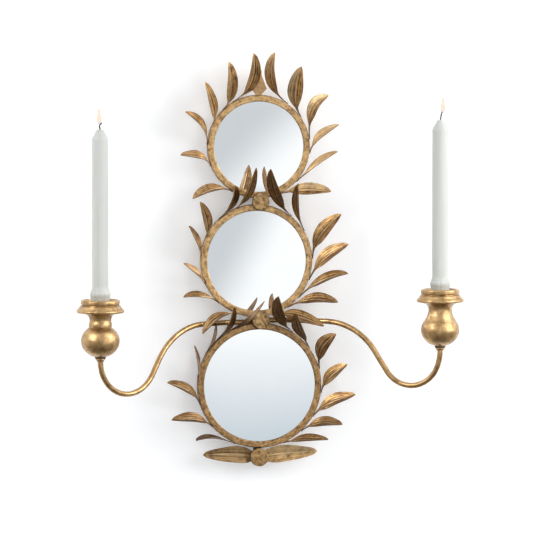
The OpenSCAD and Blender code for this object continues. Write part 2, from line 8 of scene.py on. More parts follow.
import bpy
import numpy as np
from bpy.types import ID, Material, Node, NodeSocket as Socket, Object
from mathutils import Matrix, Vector


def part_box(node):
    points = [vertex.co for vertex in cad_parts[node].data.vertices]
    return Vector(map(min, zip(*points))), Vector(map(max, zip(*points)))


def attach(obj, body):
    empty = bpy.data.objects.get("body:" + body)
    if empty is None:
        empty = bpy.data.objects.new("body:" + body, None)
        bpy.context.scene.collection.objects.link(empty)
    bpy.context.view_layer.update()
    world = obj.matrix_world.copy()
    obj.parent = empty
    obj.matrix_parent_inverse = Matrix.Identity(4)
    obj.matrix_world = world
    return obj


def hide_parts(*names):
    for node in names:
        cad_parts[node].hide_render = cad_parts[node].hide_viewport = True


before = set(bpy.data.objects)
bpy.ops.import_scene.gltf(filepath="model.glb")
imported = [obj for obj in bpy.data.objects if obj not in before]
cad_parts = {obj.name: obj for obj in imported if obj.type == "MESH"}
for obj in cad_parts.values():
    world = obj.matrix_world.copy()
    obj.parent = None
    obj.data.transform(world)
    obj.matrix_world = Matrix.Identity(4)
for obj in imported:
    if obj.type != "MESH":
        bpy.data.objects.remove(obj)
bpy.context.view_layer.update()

LOG = logging.getLogger("sconce")
MM = 0.001
SEAT = 0.05  # mm between a leaf's stem and what it is fixed to
DISCS = ("upper", "lower", "bottom")
WHITE = (1.0, 1.0, 1.0)
Array = np.ndarray
Pair = tuple[float, float]
Triple = tuple[float, float, float]
Colour = Triple
Feed = Socket | float | Colour


class Side(Enum):
    """Which side of the mirrors a piece is on, as the sign of its x."""

    LEFT = -1
    RIGHT = 1

    def node(self, part: str) -> str:
        """Name of this side's node of a part."""
        return f"{self.name.lower()}_{part}"


class Axis(Enum):
    """Axis that a turned piece is spun about, given by what counts as across it."""

    FORWARD = (1.0, 0.0, 1.0)
    UP = (1.0, 1.0, 0.0)


class Pattern(Enum):
    """How the streaks of a gilt finish lie."""

    CLOUDED = "clouded"
    ALONG_LEAF = "along leaf"
    TURNED = "turned"


# ---- shapes ----


def ease(t: Array) -> Array:
    """Smooth step: 3t^2 - 2t^3, with t held between 0 and 1."""
    c = np.clip(t, 0.0, 1.0)
    return c * c * (3 - 2 * c)


def lerp(a: Array | float, b: Array | float, t: Array | float) -> Array | float:
    """Straight blend: a + (b - a) t."""
    return a + (b - a) * t


def bell(x: Array, width: float) -> Array:
    """Bell curve: exp(-(x / width)^2)."""
    return np.exp(-((x / width) ** 2))


def fade(x: Array, width: float) -> Array:
    """Falls off from an edge: exp(-x / width), with x held above 0."""
    return np.exp(-np.maximum(x, 0) / width)


def unit(v: Array) -> Array:
    """Each vector divided by its length."""
    return v / np.maximum(np.linalg.norm(v, axis=-1, keepdims=True), 1e-9)


def stops(count: int) -> Array:
    """Even angles round a full turn: 2 pi k / count."""
    return np.linspace(0, 2 * np.pi, count, endpoint=False)


def polar(r: Array | float, a: Array, y: Array | float) -> Array:
    """Points round the forward axis: (r cos a, y, r sin a)."""
    return np.stack(np.broadcast_arrays(r * np.cos(a), y, r * np.sin(a)), -1)


def arc(centre: Pair, radii: Pair, span: Pair, count: int) -> Array:
    """Points on an ellipse: centre + (rx cos a, ry sin a), with a even over the degrees."""
    a = np.radians(np.linspace(*span, count))
    return centre + np.stack([np.cos(a), np.sin(a)], -1) * radii


def outline(*stretches: Array | Pair, step: float = 1.2) -> Array:
    """Joins points and arcs into one profile with even stops on its straight runs.

    Between two neighbours a and b it adds a + (b - a) k/n, with n the run over the step.

    Args:
        stretches: Single points or arrays of points, in order.
        step: Longest distance between stops in mm.

    Returns:
        An array of shape (n, 2).
    """
    corners = np.concatenate([np.atleast_2d(np.asarray(s, float)) for s in stretches])
    runs = [corners[:1]]
    for a, b in zip(corners[:-1], corners[1:]):
        n = max(1, math.ceil(float(np.linalg.norm(b - a)) / step))
        runs.append(a + (b - a) * (np.arange(1, n + 1)[:, None] / n))
    return np.concatenate(runs)


def bezier(points: list[Array], t: Array) -> Array:
    """Smooth curve by its control points: the sum of C(n, k) t^k (1 - t)^(n - k) P(k)."""
    n = len(points) - 1
    return sum(math.comb(n, k) * t**k * (1 - t) ** (n - k) * p for k, p in enumerate(points))


def ripple(points: Array, size: float, seed: int) -> Array:
    """Soft uneven field: the mean of nine sines with random directions and phases.

    Args:
        points: Positions in mm, shape (..., 3).
        size: Usual width of one bump in mm.
        seed: Seed of the directions.

    Returns:
        Values from about -1 to 1, shape (...).
    """
    rng = np.random.default_rng(seed)
    ways = unit(rng.normal(size=(9, 3))) * (2 * np.pi / size) * rng.uniform(0.6, 1.7, (9, 1))
    return np.sin(points @ ways.T + rng.uniform(0, 2 * np.pi, 9)).mean(-1) * 1.9


def dents(points: Array, spots: Array, width: float) -> Array:
    """Hammer marks: exp(-(d / width)^2), with d the distance to the nearest spot."""
    return np.exp(-np.min([((points - s) ** 2).sum(-1) for s in spots], axis=0) / width**2)


def spin(profile: Array, centre: Array, axis: Axis, count: int) -> Array:
    """Turns (radius r, along l): (r cos a, -l, r sin a) forward, (r cos a, r sin a, l) up."""
    if axis is Axis.FORWARD:
        return polar(profile[:, :1], stops(count), -profile[:, 1:]) + centre
    return polar(profile[:, :1], stops(count), profile[:, 1:])[..., [0, 2, 1]] + centre


def pushed(grid: Array, centre: Array, axis: Axis, push: Array) -> Array:
    """Moves each point p away from the axis by its push: p + push unit(p - axis)."""
    return grid + unit((grid - centre) * axis.value) * push[..., None]


@dataclass
class Skin:
    """A closed surface: its points in mm, its faces, and values kept at its points."""

    points: Array
    quads: Array
    tris: Array
    values: dict[str, Array]

    def faces(self, first: int) -> list[list[int]]:
        """Faces as corner numbers, turned over if the enclosed volume is negative.

        The volume is the sum of a.(b x c)/6 over the triangles.

        Args:
            first: Number of the skin's first point.

        Returns:
            The corners of each face.
        """
        corners = np.concatenate([self.quads[:, :3], self.quads[:, [0, 2, 3]], self.tris])
        a, b, c = (self.points[corners[:, k]] for k in range(3))
        way = -1 if np.einsum("ij,ij->i", a, np.cross(b, c)).sum() < 0 else 1
        return [f for part in (self.quads, self.tris) for f in (part[:, ::way] + first).tolist()]


def skin_of(grid: Array, ends: Optional[tuple[Array, Array]] = None, **values: Array) -> Skin:
    """Closes a grid of points, of which each row is a loop, into a skin.

    Faces join (i, j), (i, j+1), (i+1, j+1) and (i+1, j), with j round the loop. The first
    and the last row close on their end points, or without them join each other.

    Args:
        grid: Points in mm, shape (rows, columns, 3).
        ends: Points that close the first and the last row.
        values: Values at the grid's points, shape (rows, columns) or (rows, columns, 2).

    Returns:
        The skin.
    """
    n, m = grid.shape[:2]
    at = np.arange(n * m).reshape(n, m)
    nxt = np.roll(at, -1, axis=1)
    quads = np.stack([at, nxt, np.roll(nxt, -1, 0), np.roll(at, -1, 0)], -1)
    points, tris, closed = grid.reshape(-1, 3), np.zeros((0, 3), int), []
    if ends is not None:
        points, quads, closed = np.concatenate([points, ends]), quads[:-1], [0, -1]
        tip = np.full(m, n * m)
        tris = np.concatenate([np.stack([tip, nxt[0], at[0]], -1),
                               np.stack([tip + 1, at[-1], nxt[-1]], -1)])
    kept = {}
    for key, v in values.items():
        v = v.reshape(n, m, -1)
        kept[key] = np.concatenate([v.reshape(n * m, -1)] + [v[[i]].mean(1) for i in closed])
    return Skin(points, quads.reshape(-1, 4), tris, kept)


def stand(name: str, data: ID) -> Object:
    """Puts new data into the scene as an object.

    Args:
        name: Name of the object.
        data: A mesh, a camera or a lamp.

    Returns:
        The object.
    """
    thing = bpy.data.objects.new(name, data)
    bpy.context.scene.collection.objects.link(thing)
    return thing


def make_piece(name: str, skins: list[Skin], material: Material, node: str = "",
               body: str = "sconce", sharp: float = 38.0) -> None:
    """Puts skins into one mesh object, dresses it and fixes it to its body.

    Args:
        name: Name of the piece.
        skins: Closed skins.
        material: Its finish.
        node: CAD node that it replaces.
        body: Body that the piece rides on.
        sharp: Edges that turn by more degrees than this stay crisp.
    """
    starts = np.cumsum([0] + [len(s.points) for s in skins])
    faces = [face for s, first in zip(skins, starts) for face in s.faces(first)]
    mesh = bpy.data.meshes.new(name)
    mesh.from_pydata((np.concatenate([s.points for s in skins]) * MM).tolist(), [], faces)
    for key in skins[0].values:
        kept = np.concatenate([s.values[key] for s in skins]).astype(np.float32)
        if key == "uv":
            corner = np.zeros(len(mesh.loops), np.int32)
            mesh.loops.foreach_get("vertex_index", corner)
            mesh.uv_layers.new(name="UVMap").data.foreach_set("uv", kept[corner].ravel())
        else:
            mesh.attributes.new(key, "FLOAT", "POINT").data.foreach_set("value", kept.ravel())
    mesh.polygons.foreach_set("use_smooth", np.ones(len(mesh.polygons), bool))
    mesh.set_sharp_from_angle(angle=math.radians(sharp))
    mesh.materials.append(material)
    mesh.validate()
    piece = stand(name, mesh)
    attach(piece, body)
    if node:
        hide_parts(node)
    LOG.info("%s: %d faces on %s", name, len(faces), body)


def dress(node: str, material: Material) -> None:
    """Gives a CAD node a finish in place of its own.

    Args:
        node: Name of the node.
        material: The finish.
    """
    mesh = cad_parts[node].data
    mesh.materials.clear()
    mesh.materials.append(material)
    LOG.info("%s: dressed in %s", node, material.name)


def box_of(node: str) -> tuple[Array, Array, Array]:
    """Middle, lowest and highest corner of a CAD node, in mm."""
    lo, hi = (np.array(v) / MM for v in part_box(node))
    return (lo + hi) / 2, lo, hi


# ---- finishes ----


class Shades:
    """Node tree of a finish or of the world, with short ways to add and feed nodes."""

    def __init__(self, owner: ID) -> None:
        """Empties the owner's tree.

        Args:
            owner: A material or a world.
        """
        owner.use_nodes = True
        self.tree = owner.node_tree
        self.tree.nodes.clear()
        self.place = self.add("TexCoord").outputs

    def feed(self, node: Node, feeds: dict[str | int, Feed]) -> None:
        """Joins each input to a socket, or sets it to a number, a colour or a vector.

        Args:
            node: The node.
            feeds: What goes into each input.
        """
        for key, value in feeds.items():
            socket = node.inputs[key]
            if isinstance(value, Socket):
                self.tree.links.new(value, socket)
            elif isinstance(value, tuple):
                socket.default_value = (*value, 1.0)[:len(socket.default_value)]
            else:
                socket.default_value = value

    def add(self, kind: str, feeds: Optional[dict[str | int, Feed]] = None,
            **settings: object) -> Node:
        """Adds a shader node, sets its properties and feeds its inputs.

        Args:
            kind: Its type.
            feeds: What goes into its inputs.
            settings: Its properties.

        Returns:
            The node.
        """
        node = self.tree.nodes.new(f"ShaderNode{kind}")
        for key, value in settings.items():
            setattr(node, key, value)
        self.feed(node, feeds or {})
        return node

    def stretched(self, scale: Triple, pattern: str = "Object") -> Socket:
        """Coordinates scaled by axis, from the object or from a leaf's own pattern."""
        return self.add("Mapping", {"Vector": self.place[pattern], "Scale": scale}).outputs[0]

    def noise(self, scale: float, detail: float, rough: float = 0.55, warp: float = 0.0,
              at: Optional[Socket] = None) -> Socket:
        """Noise value from 0 to 1 at this many features a metre."""
        feeds = {"Scale": scale, "Detail": detail, "Roughness": rough, "Distortion": warp}
        return self.add("TexNoise", {"Vector": at or self.place["Object"], **feeds}).outputs["Fac"]

    def value(self, name: str, kind: str = "Fac") -> Socket:
        """A value or colour kept at the mesh's points."""
        return self.add("Attribute", attribute_name=name).outputs[kind]

    def spread(self, x: Socket, span: Pair, to: Pair = (0.0, 1.0)) -> Socket:
        """Maps a span of a value to another range, held at its ends."""
        feeds = dict(zip(("From Min", "From Max", "To Min", "To Max"), (*span, *to)))
        return self.add("MapRange", {"Value": x, **feeds}).outputs["Result"]

    def sums(self, kind: str, a: Socket, b: Feed = 0.0) -> Socket:
        """One sum of values, such as MULTIPLY."""
        return self.add("Math", {0: a, 1: b}, operation=kind).outputs[0]

    def pile(self, *parts: tuple[Socket, float]) -> Socket:
        """Sum of heights, each times its weight."""
        scaled = [self.sums("MULTIPLY", *part) for part in parts]
        return reduce(lambda a, b: self.sums("ADD", a, b), scaled)

    def ramp(self, x: Socket, steps: list[tuple[float, Colour]]) -> Socket:
        """Colour by value, blended between steps.

        Args:
            x: The value.
            steps: Places from 0 to 1, and the colour at each.

        Returns:
            The colour.
        """
        r = self.add("ValToRGB", {"Fac": x})
        elements = r.color_ramp.elements
        while len(elements) < len(steps):
            elements.new(1.0)
        for element, (at, colour) in zip(elements, steps):
            element.position, element.color = at, (*colour, 1.0)
        return r.outputs["Color"]

    def mix(self, share: Socket, a: Feed, b: Feed) -> Socket:
        """Blends two colours by a share."""
        return self.add("Mix", {0: share, 6: a, 7: b}, data_type="RGBA").outputs[2]

    def blend(self, share: Socket, a: Socket, b: Socket) -> Socket:
        """Blends two shaders by a share."""
        return self.add("MixShader", {0: share, 1: a, 2: b}).outputs[0]


class Paint(Shades):
    """The shades of a new material, which end in one Principled shader."""

    def __init__(self, name: str) -> None:
        """Starts the material.

        Args:
            name: Its name.
        """
        self.material = bpy.data.materials.new(name)
        super().__init__(self.material)
        self.base = self.add("BsdfPrincipled")
        self.out = self.add("OutputMaterial", {"Surface": self.base.outputs[0]})

    def bumped(self, height: Socket, depth: float, strength: float = 1.0) -> Socket:
        """Normal of a surface raised by a height times a depth in metres."""
        feeds = {"Height": height, "Distance": depth, "Strength": strength}
        return self.add("Bump", feeds).outputs["Normal"]

    def done(self, **feeds: Feed) -> Material:
        """Feeds the shader, whose inputs are named with underscores, and ends the material."""
        self.feed(self.base, {key.replace("_", " "): value for key, value in feeds.items()})
        return self.material


@dataclass(frozen=True)
class GiltFinish:
    """Antique gold leaf over brown size: clouded, rubbed on the high places, with painted light.
    """

    name: str
    bright: Colour
    body: Colour
    shade: Colour
    metallic: float = 0.6
    roughness: float = 0.46
    coat: float = 0.15
    cloud: float = 110.0
    relief: float = 0.6
    dark_at: float = 0.35
    speck: float = 0.5
    streak: float = 0.7
    depth: float = 0.00025
    pattern: Pattern = Pattern.CLOUDED
    pale: Colour = (0.92, 0.76, 0.47)
    grain: float = 900.0
    body_at: float = 0.48
    bright_at: float = 0.66

    def build(self) -> Material:
        """Builds the material from clouds, grain, streaks, hollows, crests and painted light.

        Returns:
            The material.
        """
        s = Paint(self.name)
        clouds, grain = s.noise(self.cloud, 6, 0.62, 0.5), s.noise(self.grain, 3, 0.6)
        broad, relief = s.noise(self.cloud * 0.28, 3, 0.5), s.value("relief")
        heights = [(clouds, 0.6), (grain, 0.35)]
        washes = [(broad, (0.35, 0.75), (0.0, 0.5), self.body),
                  (grain, (0.5, 0.68), (0.0, self.speck), self.shade)]
        if self.pattern is Pattern.ALONG_LEAF:
            streaks = s.noise(1.0, 5, 0.7, 0.2, s.stretched((3.2, 7.5, 1.0), "UV"))
            fine = s.noise(1.0, 4, 0.65, 0.1, s.stretched((5.0, 34.0, 1.0), "UV"))
            heights += [(fine, 1.2)]
            washes += [(streaks, (0.5, 0.66), (0.0, self.streak), self.shade),
                       (streaks, (0.46, 0.32), (0.0, 0.65), self.bright),
                       (fine, (0.52, 0.68), (0.0, self.streak * 0.75), self.shade)]
        elif self.pattern is Pattern.TURNED:
            lines = s.noise(1.0, 4, 0.6, 0.0, s.stretched((14.0, 14.0, 420.0)))
            heights += [(lines, 0.35)]
            washes += [(lines, (0.52, 0.72), (0.0, 0.5), self.shade)]
        # Low relief paints the shade colour: the dark size in hammer marks and grooves, and
        # painted shade at walls, rims, cup hollows and beside the discs. High values paint the
        # bright colour on crests.
        washes += [(relief, (0.0, 0.45), (self.relief, 0.0), self.shade),
                   (relief, (0.6, 1.0), (0.0, self.relief), self.bright)]
        if self.pattern is Pattern.ALONG_LEAF:
            worn = s.spread(streaks, (0.62, 0.4), (0.15, 0.95))
            rubbed, tone = s.sums("MULTIPLY", s.value("rib"), worn), s.value("tone")
            # The pale colour paints the rubbed rib, and above a tone of 1 a painted highlight. A
            # low tone paints the shade colour, partly as painted shade.
            washes += [(rubbed, (0.0, 1.0), (0.0, 1.0), self.pale),
                       (tone, (0.0, 1.0), (0.85, 0.0), self.shade),
                       (tone, (1.0, 1.7), (0.0, 0.7), self.pale)]
        colour = s.ramp(clouds, [(self.dark_at, self.shade), (self.body_at, self.body),
                                 (self.bright_at, self.bright)])
        for x, span, to, over in washes:
            colour = s.mix(s.spread(x, span, to), colour, over)
        gloss = s.spread(clouds, (0.3, 0.7), (self.roughness + 0.1, self.roughness - 0.06))
        return s.done(Base_Color=colour, Roughness=gloss, Metallic=self.metallic,
                      Normal=s.bumped(s.pile(*heights), self.depth), Coat_Weight=self.coat,
                      Coat_Roughness=0.24)


@dataclass(frozen=True)
class MirrorFinish:
    """Silvered glass with the faintest haze."""

    name: str
    tint: Colour = (0.93, 0.95, 0.96)
    dull_tint: Colour = (0.90, 0.93, 0.945)
    gloss: Pair = (0.012, 0.03)

    def build(self) -> Material:
        """Builds a mirror whose gloss drifts very slightly.

        Returns:
            The material.
        """
        s = Paint(self.name)
        haze = s.spread(s.noise(14.0, 3), (0.3, 0.7))
        return s.done(Base_Color=s.mix(haze, self.tint, self.dull_tint), Metallic=1.0,
                      Roughness=s.spread(haze, (0.0, 1.0), self.gloss))


@dataclass(frozen=True)
class WaxFinish:
    """Smooth candle wax, a cool ivory, with faint cloudy streaks down its length."""

    name: str
    colour: Colour = (0.66, 0.675, 0.635)
    streak: float = 0.93
    depth: float = 0.00008

    def build(self) -> Material:
        """Builds wax that lets a little light in.

        Returns:
            The material.
        """
        s = Paint(self.name)
        streaks = s.noise(1.0, 4, 0.5, 0.2, s.stretched((260.0, 260.0, 9.0)))
        darker = tuple(c * self.streak for c in self.colour)
        return s.done(Base_Color=s.mix(s.spread(streaks, (0.35, 0.7)), self.colour, darker),
                      Roughness=s.spread(streaks, (0.3, 0.7), (0.38, 0.5)),
                      Normal=s.bumped(streaks, self.depth, 0.6), Subsurface_Weight=0.25,
                      Subsurface_Scale=0.004, Subsurface_Radius=(1.0, 0.9, 0.75))


@dataclass(frozen=True)
class PlainFinish:
    """A dull material of two near colours with its own grain, such as board or felt."""

    name: str
    light: Colour
    dark: Colour
    scale: float
    roughness: float
    metallic: float = 0.0
    stretch: Triple = (1.0, 1.0, 1.0)
    depth: float = 0.0002

    def build(self) -> Material:
        """Builds the two-colour grain with fine bumps.

        Returns:
            The material.
        """
        s = Paint(self.name)
        grain = s.noise(self.scale, 5, 0.65, 0.2, s.stretched(self.stretch))
        both = s.pile((grain, 0.7), (s.noise(self.scale * 6, 2, 0.5), 0.3))
        gloss = (self.roughness + 0.08, self.roughness - 0.08)
        return s.done(Base_Color=s.ramp(both, [(0.35, self.dark), (0.65, self.light)]),
                      Roughness=s.spread(both, (0.3, 0.7), gloss), Metallic=self.metallic,
                      Normal=s.bumped(both, self.depth))


@dataclass(frozen=True)
class FlameFinish:
    """A pale candle flame that thins out towards its foot and its edge."""

    name: str
    steps: tuple[tuple[float, Colour], ...] = (
        (0.0, (0.62, 0.66, 0.80)), (0.22, (1.0, 0.80, 0.62)), (0.6, (1.0, 0.86, 0.70)),
        (1.0, (1.0, 0.70, 0.45)))

    def build(self) -> Material:
        """Builds a glow mixed with clear air by the height kept at the points.

        Returns:
            The material.
        """
        s = Paint(self.name)
        height = s.value("height")
        glow = s.add("Emission", {"Color": s.ramp(height, self.steps), "Strength": 1.0})
        facing = s.add("LayerWeight", {"Blend": 0.35}).outputs["Facing"]
        thin = s.sums("MAXIMUM", s.spread(facing, (0.1, 0.95), (0.0, 0.8)),
                      s.spread(height, (0.0, 0.3), (0.85, 0.05)))
        clear = s.add("BsdfTransparent").outputs[0]
        s.feed(s.out, {"Surface": s.blend(thin, glow.outputs[0], clear)})
        return s.material


# ---- the sconce ----


@dataclass(frozen=True)
class LeafPlan:
    """Where one leaf grows, how it bends and how bright it is, in mm and degrees."""

    root: float
    heading: float
    length: float
    roll: float
    bow: float
    tone: float = 0.85
    lift: float = 28.0


# Right and left leaves of each ring from the top down, by the values of LeafPlan.
LEAVES = {
    "top": (
        ((56, 107, 73.5, 31, 0.56, 0.9), (35, 93, 69, 63, 0.44, 1.0),
         (8, 70.5, 64, 34, 0.72, 1.0), (-7, 47.5, 53, 17, 0.36, 1.05),
         (-42, 38.5, 66.5, 12, 0.44, 1.0), (-67, 4, 68.5, 44, 0.38, 1.0, 25)),
        ((60, 110, 71, 52, 0.52, 1.0), (47, 93, 65, 51, 0.28, 1.0),
         (28, 75, 58.5, 39, 0.12, 1.05), (3, 53.5, 57, 26, 0.4), (-21, 20, 48, 24, 0.32, 0.9),
         (-59, -7.5, 58.5, 27, 0.44))),
    "middle": (
        ((52, 116.5, 73, 36, 0.4, 0.12, 30), (32, 101, 66.5, 15, 0.44, 0.35, 33),
         (2, 60.5, 70.5, 48, 0.44, 0.7), (-20, 45, 70, 39, 0.48, 0.75),
         (-41, 28, 72, 24, 0.52, 0.5), (-56, 7, 65, 34, 0.48, 0.5),
         (-73, -12.5, 68, 42, 0.3, 0.7, 24)),
        ((69, 111.5, 60.5, 36, 0.12, 0.35, 34), (48, 111, 49, 34, 0.6, 0.4, 24),
         (25, 77, 51, 42, 0.24, 0.6), (6, 64.5, 46.5, 23, 0.12, 0.75), (-23, 42, 44, 16, 0.15),
         (-47, 11, 52.5, 18, 0.36), (-69, -26, 56, 21, 0.4))),
    "bottom": (
        ((58, 115, 55.5, 37, 0.48, 0.12), (37, 116, 54, 30, 0.44, 0.2, 34),
         (15, 69.5, 52, 45, 0.56, 0.38), (-7, 51.5, 50.5, 33, 0.42, 0.7),
         (-30, 30, 62, 36, 0.36, 0.6), (-47, 11, 52.5, 30, 0.44, 0.45),
         (-67, 6, 57.5, 21, 0.28, 0.45)),
        ((64, 134.5, 56.5, 2, 0.13, 0.15, 34), (48, 112.5, 49, 27, 0.4, 0.25, 25),
         (31, 106.5, 44, 9, 0.42, 0.2, 8), (8, 79.5, 46.5, 9, 0.18, 0.35),
         (-17, 34, 58.5, 30, 0.36, 0.3), (-40, 11.5, 60, 31, 0.32, 0.22),
         (-67, 7, 58, 4, 0.6, 0.2))),
}


@dataclass
class MirrorRing:
    """One round ring frame with hammered skin and its silvered glass."""

    level: str
    mirror_r: float
    seed: int
    gilt: Material
    silver: Material
    width: float = 9.0
    depth: float = 12.0
    edge: float = 1.6
    lap: float = 4.0
    lip: float = 2.5
    bezel: float = 0.9
    turns: int = 360
    marks_a_mm: float = 3.4
    mark_r: float = 2.1
    side_marks: float = 0.4
    swell_size: float = 13.0
    bark_sizes: Pair = (3.2, 2.6)
    bark_stretch: float = 5.0

    @property
    def outer_r(self) -> float:
        """Radius of the ring's outer wall."""
        return self.mirror_r + self.width

    @property
    def centre(self) -> Array:
        """Middle of the ring on the plane of its back."""
        mid, _, hi = box_of(f"{self.level}_ring")
        return np.array([mid[0], hi[1], mid[2]])

    def profile(self) -> Array:
        """Section of the ring: a bar with rounded edges and a step for the glass.

        Returns:
            Radius and height over the back, shape (n, 2).
        """
        r0, r1, f, e = self.mirror_r, self.outer_r, self.depth, self.edge
        rebate, lip_back = r0 + self.lap, f - self.lip
        return outline(
            (rebate, 0.0), arc((r1 - e, e), (e, e), (-90, 0), 6),
            arc((r1 - e, f - e), (e, e), (0, 90), 6), arc((r0 + e, f - e), (e, e), (90, 180), 6),
            (r0, lip_back), (rebate, lip_back), (rebate, self.bezel), step=0.9)

    def marks(self) -> Array:
        """Random middles of hammer marks, on the front face or on the outer wall.

        Returns:
            Points from the ring's centre in mm, shape (count, 3).
        """
        rng = np.random.default_rng(self.seed)
        count = int(self.outer_r * self.marks_a_mm)
        a, q = rng.uniform(0, 2 * np.pi, count), rng.uniform(0, 1, count)
        outside = rng.uniform(0, 1, count) < self.side_marks
        r = np.where(outside, self.outer_r, lerp(self.mirror_r, self.outer_r, q))
        return polar(r, a, -np.where(outside, rng.uniform(0, self.depth, count), self.depth))

    def hammered(self) -> tuple[Array, Array]:
        """Ring grid pushed in under hammer marks and out along uneven swells and bark.

        A point moves along its normal, the cross product of the grid's two differences,
        by 0.16 swell + 0.10 bark - 0.38 dent. Its relief falls in the hammer
        marks, and painted shade lowers it along the walls, at the rims and beside the discs.

        Returns:
            The grid of points and the relief at each, 0 in a hollow and in painted shade, 1 on a
            crest.
        """
        flat = self.profile()
        r, height = flat[:, :1], flat[:, 1:]
        grid = spin(flat, self.centre, Axis.FORWARD, self.turns)
        out = unit(np.cross(np.roll(grid, -1, 1) - np.roll(grid, 1, 1),
                            np.roll(grid, -1, 0) - np.roll(grid, 1, 0)))
        out *= np.sign(((grid - self.centre) * out).sum())
        deep = dents(grid, self.marks() + self.centre, self.mark_r)
        swell = ripple(grid, self.swell_size, self.seed + 1)
        around = polar(self.outer_r / self.bark_stretch, stops(self.turns), r - height)
        bark = (0.5 * ripple(grid, self.bark_sizes[0], self.seed + 2)
                + 0.8 * ripple(around, self.bark_sizes[1], self.seed + 3))
        seen = (r > self.mirror_r + self.lap + 0.1) | (height > self.depth - self.lip)
        push = (0.16 * swell + 0.10 * bark - 0.38 * deep) * seen * ease((height - 0.4) / 1.5)
        # Painted shade along the ring's walls and at the rims of its front face.
        rim = np.minimum(r - self.mirror_r, self.outer_r - r)
        wall = ease((self.depth - self.edge * 0.6 - height) / 1.5) + fade(rim, 0.55)
        # Painted contact shadow on the ring round each disc.
        disc_shade = np.zeros(deep.shape)
        for level in DISCS:
            mid, lo, hi = box_of(f"{level}_disc")
            gap = np.linalg.norm((grid - mid)[..., ::2], axis=-1) - (hi[0] - lo[0]) / 2
            disc_shade = np.maximum(disc_shade, fade(gap, 1.1))
        relief = np.clip(0.56 + 0.34 * bark + 0.16 * swell - 0.3 * deep
                         - 0.5 * np.minimum(wall, 1) - 0.8 * disc_shade, 0, 1)
        return grid + out * push[..., None], relief

    def build(self) -> None:
        """Makes the ring and dresses its glass."""
        grid, relief = self.hammered()
        make_piece(f"{self.level}_ring_hammered", [skin_of(grid, relief=relief)], self.gilt,
                   f"{self.level}_ring")
        dress(f"{self.level}_mirror", self.silver)


